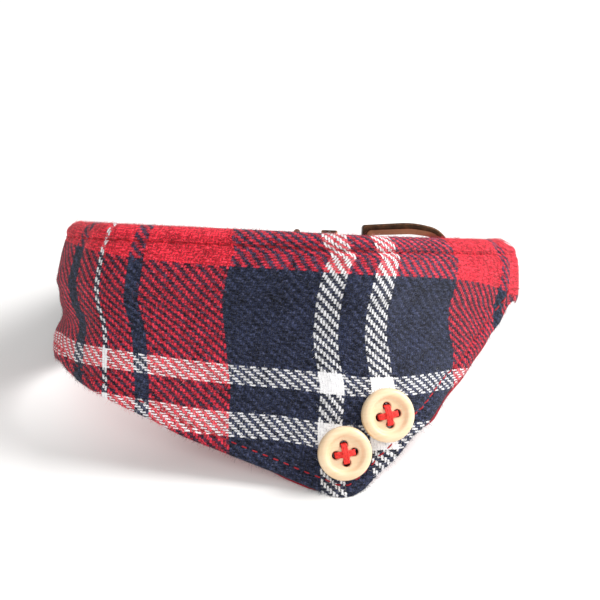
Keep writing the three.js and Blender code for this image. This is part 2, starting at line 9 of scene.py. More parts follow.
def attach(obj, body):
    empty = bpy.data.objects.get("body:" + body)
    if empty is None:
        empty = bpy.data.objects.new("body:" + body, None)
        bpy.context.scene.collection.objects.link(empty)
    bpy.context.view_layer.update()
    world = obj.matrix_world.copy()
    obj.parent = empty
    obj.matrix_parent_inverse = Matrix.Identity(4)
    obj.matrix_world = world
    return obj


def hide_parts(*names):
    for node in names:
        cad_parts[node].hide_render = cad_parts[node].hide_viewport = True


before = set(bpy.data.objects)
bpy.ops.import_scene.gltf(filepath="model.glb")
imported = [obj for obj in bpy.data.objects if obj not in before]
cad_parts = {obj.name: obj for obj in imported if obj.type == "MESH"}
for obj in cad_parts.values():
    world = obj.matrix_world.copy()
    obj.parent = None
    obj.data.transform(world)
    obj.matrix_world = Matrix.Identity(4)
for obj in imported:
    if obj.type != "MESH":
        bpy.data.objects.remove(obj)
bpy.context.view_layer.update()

# ---- How the collar lies, and the camera ----------------------------------------------------
# The collar is worked out upright, in millimetres: x to the right, d (depth) from the bandana's
# face to the buckle, and v (drop) down from the rim. It then leans back as one thing, until it
# stands on the bandana's point, the buckle and the cloth behind its left side.

MM = 0.001
LEAN = math.radians(32.1)
RIM_HEIGHT = 61.25
BOX_CENTRE_X, BOX_CENTRE_Y = -1.78, 16.77

STRAP_FOOT = 17.5
SHOULDERS = [  # side, where the lean starts and is full, how far in at the rim, power of the rise
    (-1, 45, 68, 3.5, 1.3),
    (1, 53, 71, 4.6, 4.0),
]


def smooth(low, high, value):
    """Rises from 0 at low to 1 at high along 3t^2 - 2t^3."""
    t = np.clip((value - low) / (high - low), 0, 1)
    return t * t * (3 - 2 * t)


def lean_in(x, v):
    """How far the collar's ends lean inwards: by a power of the height above the strap's foot."""
    rise = np.maximum(0, 1 - v / STRAP_FOOT)
    return sum(
        side * by * rise**power * smooth(none, full, side * x)
        for side, none, full, by, power in SHOULDERS
    )


def to_table(x, d, v):
    """The upright point (x, d, v) in millimetres, with the ends leaning in, turned back by the
    collar's lean and lifted by the rim's height: points in the row frame, in metres."""
    x, d, v = np.broadcast_arrays(x, d, v)
    x = x - lean_in(x, v)
    y = d * math.cos(LEAN) - v * math.sin(LEAN) - BOX_CENTRE_Y
    z = RIM_HEIGHT - d * math.sin(LEAN) - v * math.cos(LEAN)
    return np.stack([x - BOX_CENTRE_X, y, z], axis=-1) * MM


def floor_drop(depth):
    """The drop at which the leaning collar meets the table, at this depth."""
    return (RIM_HEIGHT - depth * math.sin(LEAN)) / math.cos(LEAN)


CAMERA_DISTANCE = 380
CAMERA_LENS = 83.6
CAMERA_PITCH = math.radians(2.82)
CAMERA_ROLL = math.radians(2.4)

# The camera stands in the plane of the rim, looks a little below it, and is rolled anticlockwise.
eye, rim_middle = (Vector(to_table(0, depth, 0)) for depth in (-CAMERA_DISTANCE, 0))
ahead = (rim_middle - eye).normalized()
right = Vector((1, 0, 0))
level = Matrix((right, right.cross(ahead), -ahead)).transposed()
turned = level @ Matrix.Rotation(CAMERA_ROLL, 3, "Z") @ Matrix.Rotation(-CAMERA_PITCH, 3, "X")
camera_data = bpy.data.cameras.new("camera")
camera_data.lens = CAMERA_LENS
camera_data.sensor_width = 36
camera_data.clip_start, camera_data.clip_end = 0.01, 20
camera = bpy.data.objects.new("camera", camera_data)
camera.matrix_world = Matrix.Translation(eye) @ turned.to_4x4()
bpy.context.scene.collection.objects.link(camera)
bpy.context.scene.camera = camera

# ---- Table and light ------------------------------------------------------------------------
# A plain white table under soft studio light: a large lamp behind the right shoulder of the
# collar, which throws its shadow forward and to the left, a weak one in front, and a pale sky.


class Value:
    """An output of a material's nodes. An operator on it adds a Math node, with numbers or other
    outputs on the other side."""

    def __init__(self, shader, socket):
        self.shader, self.socket = shader, socket

    def math(self, operation, *others):
        return self.shader.add("ShaderNodeMath", {"operation": operation}, (self, *others))

    def __add__(self, other):
        return self.math("ADD", other)

    def __sub__(self, other):
        return self.math("SUBTRACT", other)

    def __mul__(self, other):
        return self.math("MULTIPLY", other)

    def __truediv__(self, other):
        return self.math("DIVIDE", other)

    def __mod__(self, other):
        return self.math("FLOORED_MODULO", other)

    def __lt__(self, other):
        return self.math("LESS_THAN", other)

    def __gt__(self, other):
        return self.math("GREATER_THAN", other)

    def __rsub__(self, other):
        return self.shader.add("ShaderNodeMath", {"operation": "SUBTRACT"}, (other, self))

    __radd__, __rmul__ = __add__, __mul__


class Shader:
    """A material and its nodes."""

    def __init__(self, name, **plain):
        self.material = bpy.data.materials.new(name)
        self.material.use_nodes = True
        self.tree = self.material.node_tree
        self.finish(**plain)

    def add(self, kind, settings=None, sockets=(), output=0):
        """A node of this type: its settings first, then its sockets' values or links, by place or
        by name. Gives back one of its outputs."""
        node = self.tree.nodes.new(kind)
        for name, value in (settings or {}).items():
            if name == "stops":
                self.set_stops(node.color_ramp, value)
            else:
                setattr(node, name, value)
        self.feed(node, sockets)
        return Value(self, node.outputs[output])

    def feed(self, node, sockets):
        pairs = sockets.items() if isinstance(sockets, dict) else enumerate(sockets)
        for name, value in pairs:
            if isinstance(value, Value):
                self.tree.links.new(value.socket, node.inputs[name])
            elif value is not None:
                node.inputs[name].default_value = value

    def set_stops(self, ramp, stops):
        while len(ramp.elements) < len(stops):
            ramp.elements.new(1)
        for element, (position, colour) in zip(ramp.elements, stops):
            element.position, element.color = position, colour

    def finish(self, **sockets):
        """Sets the surface's own sockets, with words joined by _ for their names."""
        named = {name.replace("_", " "): value for name, value in sockets.items()}
        self.feed(self.tree.nodes["Principled BSDF"], named)

    def mix(self, share, first, second, blend="MIX"):
        """The first colour, turned into the second, or blended with it, by a share."""
        settings = {"data_type": "RGBA", "blend_type": blend}
        return self.add("ShaderNodeMix", settings, {0: share, 6: first, 7: second}, output=2)

    def vector(self, x, y, z=0.0):
        return self.add("ShaderNodeCombineXYZ", None, (x, y, z))

    def noise(self, place, scale, detail=2.0, roughness=0.5):
        sockets = {"Vector": place, "Scale": scale, "Detail": detail, "Roughness": roughness}
        return self.add("ShaderNodeTexNoise", None, sockets)

    def bump(self, height, distance, strength=1.0):
        sockets = {"Height": height, "Distance": distance, "Strength": strength}
        self.finish(Normal=self.add("ShaderNodeBump", None, sockets))


def linear(code):
    """The linear colour of a hex code: each part above 4% of full scale follows a power of 2.4."""
    parts = [int(code[k : k + 2], 16) / 255 for k in (0, 2, 4)]
    return (*(((p + 0.055) / 1.055) ** 2.4 if p > 0.04 else p / 12.92 for p in parts), 1.0)


TABLE_HALF = 3.0
corners = [(-1, -1), (1, -1), (1, 1), (-1, 1)]
table_mesh = bpy.data.meshes.new("table")
table_mesh.from_pydata([(x * TABLE_HALF, y * TABLE_HALF, 0) for x, y in corners], [], [(0, 1, 2, 3)])
table = bpy.data.objects.new("table", table_mesh)
bpy.context.scene.collection.objects.link(table)
paper = Shader("white_paper", Base_Color=(0.9, 0.888, 0.875, 1), Roughness=0.8)
table_mesh.materials.append(paper.material)

sky = bpy.data.worlds.new("sky")
bpy.context.scene.world = sky
sky.use_nodes = True
sky.node_tree.nodes["Background"].inputs["Color"].default_value = (1, 1, 1, 1)
sky.node_tree.nodes["Background"].inputs["Strength"].default_value = 0.52
bpy.context.scene.view_settings.view_transform = "Standard"

LAMPS = [  # name, where it stands, size, watts
    ("key", (0.9, 0.2, 0.8), 0.6, 17.6),
    ("front", (-0.1, -0.9, 0.9), 0.8, 5.0),
]
for name, place, size, power in LAMPS:
    lamp_data = bpy.data.lights.new(name, "AREA")
    lamp_data.size, lamp_data.energy = size, power
    lamp = bpy.data.objects.new(name, lamp_data)
    lamp.location = place
    lamp.rotation_euler = (-Vector(place)).to_track_quat("-Z", "Y").to_euler()
    bpy.context.scene.collection.objects.link(lamp)

# ---- The loop -------------------------------------------------------------------------------
# The line that the cloth's outer face follows round the neck, seen from above: straight runs
# joined by arcs. u runs along it to the right, in millimetres, from above the bandana's point.


class RoundedPath:
    """Straight runs joined by arcs round corners, each (across, along, radius); an open path's
    first and last radius isn't used. Called with distances, it gives points and unit normals,
    which point to the right of the way along."""

    def __init__(self, corners, closed):
        points = np.array([corner[:2] for corner in corners], float)
        count = len(points)
        self.runs, last = [], None if closed else points[0]
        for i in range(count) if closed else range(1, count - 1):
            into, out = points[i] - points[i - 1], points[(i + 1) % count] - points[i]
            into, out = into / np.hypot(*into), out / np.hypot(*out)
            turn = math.atan2(into[0] * out[1] - into[1] * out[0], into @ out)
            radius = corners[i][2]
            reach = radius * math.tan(abs(turn) / 2)
            start = points[i] - into * reach
            if last is not None:
                self.add_straight(last, start)
            self.runs.append((start, into, math.copysign(1 / radius, turn), radius * abs(turn)))
            last = points[i] + out * reach
        self.add_straight(last, self.runs[0][0] if closed else points[-1])
        self.ends = np.cumsum([run[3] for run in self.runs])
        self.length, self.closed = self.ends[-1], closed

    def add_straight(self, start, end):
        length = math.dist(start, end)
        self.runs.append((start, (end - start) / max(length, 1e-9), 0.0, length))

    def __call__(self, distance):
        s = np.asarray(distance, float)
        s = s % self.length if self.closed else np.clip(s, 0, self.length)
        which = np.minimum(np.searchsorted(self.ends, s), len(self.runs) - 1)
        start, way, bend, length = (np.array([run[k] for run in self.runs])[which] for k in range(4))
        along = s - self.ends[which] + length
        angle = along * bend
        left = np.stack([-way[..., 1], way[..., 0]], -1)
        tightness = np.where(bend == 0, 1, bend)
        forward = np.where(bend == 0, along, np.sin(angle) / tightness)[..., None]
        sideways = np.where(bend == 0, 0, (1 - np.cos(angle)) / tightness)[..., None]
        normal = way * np.sin(angle)[..., None] - left * np.cos(angle)[..., None]
        return start + way * forward + left * sideways, normal


LOOP_CORNERS = [  # x, d, radius
    (19.9, 0, 26),
    (70.6, 47.6, 15),
    (60, 80, 16),
    (-50, 80, 28),
    (-73.9, 24.9, 24),
    (-55.2, 0, 19),
]
TIP_FOOT = 12.3
loop = RoundedPath(LOOP_CORNERS, closed=True)
lap = np.arange(loop.length - 60, loop.length + 30, 0.05)
tip_at = lap[np.argmax(loop(lap)[0][:, 0] >= TIP_FOOT)]


def on_loop(u, v, out):
    """The point at u round the loop and v down from the rim, "out" outside the loop's line."""
    point, normal = loop(tip_at + u)
    return point[..., 0] + normal[..., 0] * out, point[..., 1] + normal[..., 1] * out, v


def bump_at(value, middle, spread):
    """A bell round the middle, which falls to 1/e at the spread."""
    return np.exp(-(((value - middle) / spread) ** 2))


def through(table, column, at):
    """A smooth curve through a table's rows: the Hermite cubic in each span, whose slope at a row
    is the harmonic mean of the spans beside it, so that it overshoots no row."""
    rows = np.array(table, float)
    x, y = rows[:, 0], rows[:, column]
    slope = np.diff(y) / np.diff(x)
    before, after = slope[:-1], slope[1:]
    same_way = before * after > 0
    mean = np.where(same_way, 2 * before * after / np.where(same_way, before + after, 1), 0)
    at_row = np.concatenate([slope[:1], mean, slope[-1:]])
    i = np.clip(np.searchsorted(x, at) - 1, 0, len(x) - 2)
    span = x[i + 1] - x[i]
    t = np.clip((at - x[i]) / span, 0, 1)
    bend = span * (at_row[i] * t * (1 - t) ** 2 - at_row[i + 1] * t * t * (1 - t))
    return y[i] + (y[i + 1] - y[i]) * t * t * (3 - 2 * t) + bend


# ---- The plaid ------------------------------------------------------------------------------
# Brushed cotton woven as a 2/2 twill: each yarn goes over two and under two, a step further along
# in each row. Warp and weft are striped alike in red, navy and white, and one side is napped.

RED, NAVY, WHITE = linear("dd2d3e"), linear("2e344c"), linear("fefdfe")
WARP = [
    (NAVY, 32), (WHITE, 9), (NAVY, 10), (WHITE, 9), (NAVY, 32), (RED, 29),
    (NAVY, 5), (RED, 10), (WHITE, 3), (RED, 10), (NAVY, 5), (RED, 29),
]
WEFT = [
    (RED, 15), (NAVY, 38), (WHITE, 9), (NAVY, 11), (WHITE, 9), (NAVY, 38), (RED, 29),
    (NAVY, 4), (RED, 11), (WHITE, 3), (RED, 11), (NAVY, 4), (RED, 14),
]
YARN, PICK = 0.774, 0.71
DULLING = 0.26
MAP = "Map"


def stripes(shader, sett, yarn):
    """The colour of a yarn, counted from 0 in its sett, which repeats."""
    total = sum(count for _, count in sett)
    starts = np.cumsum([0] + [count for _, count in sett[:-1]]) / total
    stops = [(start, colour) for start, (colour, _) in zip(starts, sett)]
    ramp = shader.add("ShaderNodeValToRGB", {"stops": stops}, (((yarn + 0.5) / total) % 1,))
    ramp.socket.node.color_ramp.interpolation = "CONSTANT"
    return ramp


def weave(shader, raggedness, blending):
    """The twill from the piece's UV map, whose u counts warp yarns and v counts picks: its colour,
    its height, the map itself, its u and v, and whether the warp is on top."""
    place = shader.add("ShaderNodeUVMap", {"uv_map": MAP})
    u, v = (shader.add("ShaderNodeSeparateXYZ", None, (place,), output=k) for k in (0, 1))

    # The yarns wander a little, and their edges are ragged with nap.
    wander = shader.noise(place, 0.35, 1.0)
    ragged = shader.noise(place, 1.9, 3.0, 0.75)
    ragged_too = shader.noise(shader.vector(v, u, 7.0), 1.9, 3.0, 0.75)
    warp_at = u + (wander - 0.5) * 0.6 + (ragged - 0.5) * raggedness
    weft_at = v + (wander - 0.5) * 0.6 + (ragged_too - 0.5) * raggedness
    warp_yarn, weft_yarn = warp_at.math("FLOOR"), weft_at.math("FLOOR")

    # A warp yarn is on top for two picks of every four, and crowds in between the weft's floats,
    # which are thinner, most of all the white ones. Across and along are a place in a float.
    weft_colour = stripes(shader, WEFT, weft_yarn)
    bright, white = (
        shader.add("ShaderNodeSeparateColor", None, (weft_colour,), output=k) for k in (0, 1)
    )
    warp_across = warp_at - warp_yarn - 0.5
    warp_along = (warp_yarn - weft_at + 1) % 4 - 1
    weft_across = weft_at - weft_yarn - 0.5
    weft_along = (warp_at - weft_yarn) % 4 - 3
    warp_colour = stripes(shader, WARP, warp_yarn)
    warp_bright, pale = (
        shader.add("ShaderNodeSeparateColor", None, (warp_colour,), output=k) for k in (0, 1)
    )
    over = ((warp_yarn - weft_yarn) % 4) < 2
    over = over * (warp_across.math("ABSOLUTE") < 0.44 - pale * 0.05)
    thin = white * (warp_bright * 0.1 + 0.15)
    on_top = over.math("MAXIMUM", weft_across.math("ABSOLUTE") > 0.49 - thin)
    warp_drop = (warp_along * warp_along * 0.35).math("MINIMUM", 0.75)
    warp_height = 1 - warp_across * warp_across * 2.4 - warp_drop
    weft_height = 1 - weft_across * weft_across * 3.2 - weft_along * weft_along * 0.35
    height = weft_height + (warp_height - weft_height) * on_top

    loose = shader.noise(shader.vector(v, u, 3.0), 1.3, 3.0, 0.75)
    # Yarns blend where they meet, though white ones stay crisp on navy.
    dark = 1 - bright.math("MINIMUM", warp_bright) * 1.2
    soft = 1 - (white - pale).math("ABSOLUTE") * dark * 0.9
    share = on_top * (1 - soft * (2 * blending)) + (loose - 0.5) * soft * 1.3 + soft * blending
    share = share.math("MAXIMUM", 0.0).math("MINIMUM", 1.0)
    # Painted shade: dark weft yarns are darkened to about half, deepening the gaps between the warp's
    # floats.
    shade = 0.42 + (bright * 1.9).math("MINIMUM", 0.58)
    weft_colour = shader.mix(1.0, weft_colour, shader.vector(shade, shade, shade), "MULTIPLY")
    colour = shader.mix(share, weft_colour, warp_colour)

    # Where light yarns cross dark ones, the dark ones' nap dulls both.
    dulled = (bright - warp_bright).math("ABSOLUTE") * DULLING
    colour = shader.mix(dulled, colour, NAVY)
    return colour, height, place, u, v, on_top


def plaid_shader(name):
    """The twill as cloth: fibres lie along the yarn on top, and a nap of tufts and pits lies over
    them all. Its colour holds painted shade where yarns dip between each other and in the nap's
    pits, and painted highlights on raised fibres. White hides its own painted shade."""
    shader = Shader(name, Roughness=0.95, Specular_IOR_Level=0.1, Sheen_Weight=0.13)
    colour, height, place, u, v, on_top = weave(shader, 1.3, 0.07)
    fibres_down = shader.noise(shader.vector(u * 3.6, v * 1.3), 1.0, 4.0, 0.7)
    fibres_across = shader.noise(shader.vector(u * 1.3, v * 3.6, 3.0), 1.0, 4.0, 0.7)
    fibres = fibres_across + (fibres_down - fibres_across) * on_top
    nap = shader.noise(shader.vector(u * 0.5, v * 1.0), 1.0, 4.0, 0.8)
    patches = shader.noise(place, 0.13, 3.0, 0.6)
    # The nap's mottle: random tone, with painted shade where the nap dips into pits.
    depth = (fibres - 0.5) * 6.8 + (nap - 0.5) * 8.5 + (patches - 0.5) * 2.2 + 1.1
    nap_mottle_and_shade = depth.math("MAXIMUM", 0.12).math("MINIMUM", 2.4)
    red, blue = (shader.add("ShaderNodeSeparateColor", None, (colour,), output=k) for k in (0, 2))
    # Painted shade: darker where a yarn dips low beside its neighbours; white keeps most of its colour.
    gap_shade = (height * 0.9 + 0.3).math("MINIMUM", 1.0)
    gap_shade = gap_shade + (1.0 - gap_shade) * blue * 0.8
    nap_mottle_and_shade = (nap_mottle_and_shade + (1.03 - nap_mottle_and_shade) * (red * 0.46 + blue * 0.5)) * gap_shade
    colour = shader.mix(1.0, colour, shader.vector(nap_mottle_and_shade, nap_mottle_and_shade, nap_mottle_and_shade), "MULTIPLY")
    # Painted highlight: where fibres and nap stand highest, the colour turns towards a pale grey-lilac.
    fleck = ((fibres + nap) * 0.5 - 0.55).math("MAXIMUM", 0.0) * 2.8
    colour = shader.mix(fleck, colour, linear("a9a7b6"))
    shader.finish(Base_Color=colour)
    shader.bump(height * 0.35 + fibres * 0.8 + nap * 1.5, 0.22 * MM)
    return shader.material


def nap_shader(name):
    """Loose fibres, in the colour of the yarn at their roots, a little paler."""
    shader = Shader(name, Roughness=0.8, Specular_IOR_Level=0.3)
    colour = shader.mix(0.06, weave(shader, 1.3, 0.2)[0], linear("e6e0e4"))
    shader.finish(Base_Color=colour)
    return shader.material


plaid = plaid_shader("plaid_twill")
nap = nap_shader("plaid_nap")

# ---- Bandana, outer ply ---------------------------------------------------------------------
# One ply of the plaid, folded over the strap's top edge and topstitched under it. Its lower edges
# are turned in and stitched to the lining; the point lies off to the right.

CLOTH = 1.2
RIM_ROLL = 2.5
QUARTER_TURN = RIM_ROLL * np.pi / 2
HEM_DEPTH = 6.0
STITCH_PITCH = 3.1
TOPSTITCH_DROP = 4.4
RIM_SAG, RIM_SAG_AT, RIM_SAG_SPREAD = 0.4, 12, 28
HEM_WIDTH = 3.6
EDGE = [  # u, v
    (-168, 18.6),
    (-158, 21.5),
    (-148, 27.5),
    (-138, 33.5),
    (-122, 37.0),
    (-103, 38.6),
    (-88, 40.0),
    (-82.5, 42.3),
    (-66, 47.3),
    (-58, 50.6),
    (-52, 53.1),
    (-43, 57.4),
    (-33.5, 60.8),
    (-24.5, 64.0),
    (-17.8, 66.3),
    (-10, 69.2),
    (-3.5, 71.4),
    (0.8, 72.8),
    (3.6, 72.9),
    (7.8, 71.1),
    (11.2, 68.3),
    (13, 66.4),
    (17.5, 62.1),
    (22, 56.2),
    (28, 52.4),
    (38.2, 46.3),
    (48.5, 40.4),
    (56, 33.4),
    (61, 28.6),
    (65, 24.8),
    (67.8, 21.4),
    (71, 18.6),
    (92, 18.6),
]
FOLDS = [  # u, v, spread along, spread down, how far out
    (-90, 28.8, 20, 4.4, -2.4),
    (-106, 32, 10, 5.5, 3.3),
    (-97, 38, 12, 5, 0.7),
    (-125, 31, 11, 7, 1.7),
    (-62, 46, 12, 8, 1.0),
    (28, 58, 14, 17, 6.5),
    (4, 76, 12, 6, 2.4),
]
SKEW_AT = (-68, 2, 38)
SKEW = [  # v, how far the stripes lie to the right at each of those places
    (0, 4.0, 2.3, -1.0),
    (2, 3.0, 2.6, 1.0),
    (4, 2.2, 3.8, 3.0),
    (6.5, 1.3, 5.3, 5.0),
    (8, 1.1, 4.3, 5.1),
    (10, 0.9, 3.6, 5.0),
    (13, 0.6, 2.8, 4.6),
    (17, 0.2, 2.0, 3.3),
    (20, -0.2, 1.7, 3.0),
    (25, 1.2, 1.3, 3.3),
    (28, 2.2, 1.2, 3.8),
    (33, 3.1, 1.7, 5.8),
    (38, 3.4, 2.8, 5.8),
    (44, 4.0, 3.8, 5.8),
    (53, 4.3, 3.5, 5.8),
    (64, 4.3, 4.6, 6.4),
    (72, 4.3, 5.3, 7.0),
]
# Two stretches of the stripes lie further to the left than that. On the right the shift comes in
# between its first two places and goes between its last two; on the left it goes between its two.
RIGHT_SHIFT, RIGHT_SHIFT_AT = 2.6, (46, 62, 66, 77)
LEFT_SHIFT, LEFT_SHIFT_AT = 1.6, (-82, -72)
WARP_START = 33.5  # how far left of the point the warp's stripes begin
RISE_AT = (10, 36, 54)
RISE = [  # u, how far the picks lie above their place at each of those drops
    (-92, 5.2, 6.4, 7.5),
    (-78, 3.8, 4.8, 6.8),
    (-65, 2.4, 4.2, 6.3),
    (-55, 1.4, 3.2, 4.8),
    (-34, 0.4, 1.4, 1.9),
    (-16, 0.1, 0.5, 1.2),
    (-2, -0.3, 0.0, -0.6),
    (8, -0.5, -1.0, -0.8),
    (18, -0.7, -1.2, -0.4),
    (30, -0.9, -0.7, 0.2),
    (40, -1.3, -0.2, 0.6),
    (50, -2.0, 0.2, 0.4),
    (56, -2.8, -1.5, -1.5),
    (62, -3.9, -3.6, -3.6),
    (68, -6.0, -6.0, -6.0),
]


def to_edge(u, v):
    """The distance from a point of the ply to its lower edge, square to the edge."""
    edge = through(EDGE, 1, u)
    slope = through(EDGE, 1, u + 0.5) - through(EDGE, 1, u - 0.5)
    return (edge - v) / np.hypot(1, slope)


def hem_width(u):
    """How far the hem's stitches are from the edge: further to the right of the point."""
    return HEM_WIDTH + 1.0 * smooth(8, 26, u)


def face_out(u, v):
    """How far the ply's face stands outside the loop's line: the sum of the folds, each a bell both
    ways; less the draw-in at the strap's foot and two stitched grooves, along rim and hem; plus
    small crinkles, which are waves whose phase drifts down the cloth."""
    folds = sum(out * bump_at(u, at, du) * bump_at(v, down, dv) for at, down, du, dv, out in FOLDS)
    draw_in = smooth(16.5, 20.5, v)
    in_hem = to_edge(u, v)
    tug = 0.75 + 0.25 * np.cos(u * 2 * np.pi / STITCH_PITCH)
    flat_front = smooth(-82, -66, u) * (1 - smooth(54, 64, u))
    flat_front = flat_front * (1 - 0.5 * smooth(20, 40, u))
    rim_groove = (0.35 + 0.8 * flat_front) * bump_at(v, TOPSTITCH_DROP, 0.6) * tug
    hem_groove = 0.5 * bump_at(in_hem, hem_width(u), 0.7) * smooth(20, 26, v) * tug
    puff = 0.35 * bump_at(v, 2.4, 1.2) + 0.25 * bump_at(in_hem, 1.7, 1.2) * smooth(20, 26, v)
    crinkle = 0.22 * np.sin(u * 1.05 + 2.2 * np.sin(u * 0.13) + v * 0.06) * smooth(52, 70, u)
    ripple = 0.12 * np.sin(u * 0.55 + v * 0.21 + 1.5 * np.sin(u * 0.09)) * np.sin(v * 0.33 + u * 0.05)
    return folds * smooth(18, 26, v) - draw_in - rim_groove - hem_groove + puff + crinkle + ripple


def skin(u, down, height):
    """Out and drop of a point this far down the ply's outer face from the rim's crest, or down its
    inside if below 0, and this height above it: a straight leg, half a turn over the rim, the face.
    The rim sags a little over the point."""
    angle = np.clip(down / RIM_ROLL, -np.pi / 2, np.pi / 2)
    beyond = np.maximum(np.abs(down) - QUARTER_TURN, 0)
    v = RIM_ROLL - np.cos(angle) * (RIM_ROLL + height) + beyond
    out = np.sin(angle) * (RIM_ROLL + height) - RIM_ROLL + face_out(u, v) * smooth(0, QUARTER_TURN, down)
    return out, v + RIM_SAG * bump_at(u, RIM_SAG_AT, RIM_SAG_SPREAD) * (1 - smooth(3, 10, v))


def yarn_place(u, v):
    """The warp yarn and the pick at a point of the cloth. The stripes lie askew both ways: each
    table's three columns hold at three places, and blend smoothly between them."""
    left, middle, right = (through(SKEW, k, v) for k in (1, 2, 3))
    skew = left + (middle - left) * smooth(*SKEW_AT[:2], u) + (right - middle) * smooth(*SKEW_AT[1:], u)
    high, half, low = (through(RISE, k, u) for k in (1, 2, 3))
    on_right = smooth(*RIGHT_SHIFT_AT[:2], u) - smooth(*RIGHT_SHIFT_AT[2:], u)
    skew = skew - RIGHT_SHIFT * on_right - LEFT_SHIFT * (1 - smooth(*LEFT_SHIFT_AT, u))
    rise = high + (half - high) * smooth(*RISE_AT[:2], v) + (low - half) * smooth(*RISE_AT[1:], v)
    return np.stack([(u - skew + WARP_START) / YARN, (v + rise) / PICK], -1)


def grid_piece(name, points, material, uv=None, ring=False, capped=False, closed=False):
    """A piece on a grid of points [along, across]. A ring's last column is joined to its first, a
    closed piece's last row too, and capped ends have one face each. Its faces point out."""
    rows, sides = points.shape[:2]
    index = np.arange(rows * sides).reshape(rows, sides)
    joined = np.concatenate([index, index[:, :1]], 1) if ring else index
    joined = np.concatenate([joined, joined[:1]], 0) if closed else joined
    quads = np.stack([joined[:-1, :-1], joined[1:, :-1], joined[1:, 1:], joined[:-1, 1:]], -1)
    faces = quads.reshape(-1, 4).tolist()
    if capped:
        faces += [index[0].tolist(), index[-1, ::-1].tolist()]
    return build_piece(name, points.reshape(-1, 3), faces, material, uv)


def build_piece(name, points, faces, material, uv=None):
    """A smooth piece from points and faces, with a UV map if uv has a pair for each point.
    The faces are turned round if they enclose a volume below zero."""
    corner = [face[:3] for face in faces]
    a, b, c = (points[[face[k] for face in corner]] for k in range(3))
    mesh = bpy.data.meshes.new(name)
    mesh.from_pydata(points.tolist(), [], faces)
    if np.einsum("ij,ij->", a, np.cross(b, c)) < 0:
        mesh.flip_normals()
    if uv is not None:
        layer = mesh.uv_layers.new(name=MAP)
        at = np.empty(len(mesh.loops), np.int32)
        mesh.loops.foreach_get("vertex_index", at)
        layer.data.foreach_set("uv", uv.reshape(-1, 2)[at].astype(np.float32).ravel())
    mesh.shade_smooth()
    mesh.materials.append(material)
    piece = bpy.data.objects.new(name, mesh)
    bpy.context.scene.collection.objects.link(piece)
    return piece


def tubes(name, centres, across, radii, sides, material, uv=None):
    """Round tubes with closed ends, joined in one mesh: centres [tube, station, xyz], a direction
    roughly square to the way along, radii [tube, station], and uv [tube, station, uv]."""
    ahead = np.gradient(centres, axis=1)
    ahead /= np.linalg.norm(ahead, axis=2, keepdims=True)
    across = across - ahead * (across * ahead).sum(axis=2, keepdims=True)
    across /= np.linalg.norm(across, axis=2, keepdims=True)
    angle = np.arange(sides)[:, None] * 2 * np.pi / sides
    spoke = across[:, :, None] * np.cos(angle) + np.cross(ahead, across)[:, :, None] * np.sin(angle)
    points = centres[:, :, None] + spoke * radii[:, :, None, None]
    index = np.arange(radii.size * sides).reshape(*radii.shape, sides)
    beside = np.roll(index, -1, axis=2)
    quads = np.stack([index[:, :-1], index[:, 1:], beside[:, 1:], beside[:, :-1]], -1).reshape(-1, 4)
    faces = quads.tolist() + index[:, 0].tolist() + index[:, -1, ::-1].tolist()
    if uv is not None:
        uv = np.broadcast_to(uv[:, :, None], (*radii.shape, sides, 2))
    return build_piece(name, points.reshape(-1, 3), faces, material, uv)


def lay_on_table(u, v, out):
    """Points of the cloth, with whatever would pass through the table laid on it."""
    x, d, v = on_loop(u, v, out)
    return to_table(x, d, np.minimum(v, floor_drop(d)))


INNER_LIMIT = -1.45
LEG = HEM_DEPTH - RIM_ROLL
RIM_BAND, EDGE_BAND = 5.0, 5.0
ply_u = np.concatenate([
    np.arange(-168, -100, 0.9),
    np.arange(-100, -20, 0.6),
    np.arange(-20, 20, 0.5),
    np.arange(20, 75, 0.6),
    np.arange(75, 92.3, 0.9),
])
edge_v = through(EDGE, 1, ply_u)[:, None]
last_down = edge_v - CLOTH / 2 - RIM_ROLL + QUARTER_TURN
u_grid = ply_u[:, None]


def ply_rows(height, fold_steps, near_rim, face_steps, near_edge):
    """Out, drop and way down of the ply's rows at one height above its face: over the fold, then
    down to where the edge starts to round off, closer together by the rim and by the edge."""
    fold = np.concatenate([
        np.linspace(-QUARTER_TURN - LEG, -QUARTER_TURN, 7)[:-1],
        np.linspace(-QUARTER_TURN, QUARTER_TURN, fold_steps),
    ])
    rim_end, edge_start = QUARTER_TURN + RIM_BAND, last_down - EDGE_BAND
    fold = np.broadcast_to(fold, (len(ply_u), len(fold)))
    down = np.concatenate([
        fold,
        QUARTER_TURN + RIM_BAND * np.linspace(0, 1, near_rim)[1:] + 0 * last_down,
        rim_end + (edge_start - rim_end) * np.linspace(0, 1, face_steps)[1:],
        edge_start + EDGE_BAND * np.linspace(0, 1, near_edge)[1:],
    ], axis=1)
    return (*skin(u_grid, down, height), down)


outer_out, outer_v, outer_down = ply_rows(0, 19, 19, 60, 15)
free_out, inner_v, inner_down = ply_rows(-CLOTH, 11, 7, 22, 5)
over_strap = (inner_v < STRAP_FOOT) & (inner_down > QUARTER_TURN)
inner_out = np.where(over_strap, np.maximum(free_out, INNER_LIMIT), free_out)
half_turn = np.linspace(0, np.pi, 7)[1:-1]
edge_out = face_out(u_grid, edge_v - CLOTH / 2) - CLOTH / 2 + np.cos(half_turn) * CLOTH / 2
edge_drop = edge_v - CLOTH / 2 + np.sin(half_turn) * CLOTH / 2
edge_down = last_down + np.sin(half_turn) * CLOTH / 2
ply_out = np.concatenate([outer_out, edge_out, inner_out[:, ::-1]], 1)
ply_v = np.concatenate([outer_v, edge_drop, inner_v[:, ::-1]], 1)
ply_down = np.concatenate([outer_down, edge_down, inner_down[:, ::-1]], 1)
ply_column = np.broadcast_to(u_grid, ply_v.shape)

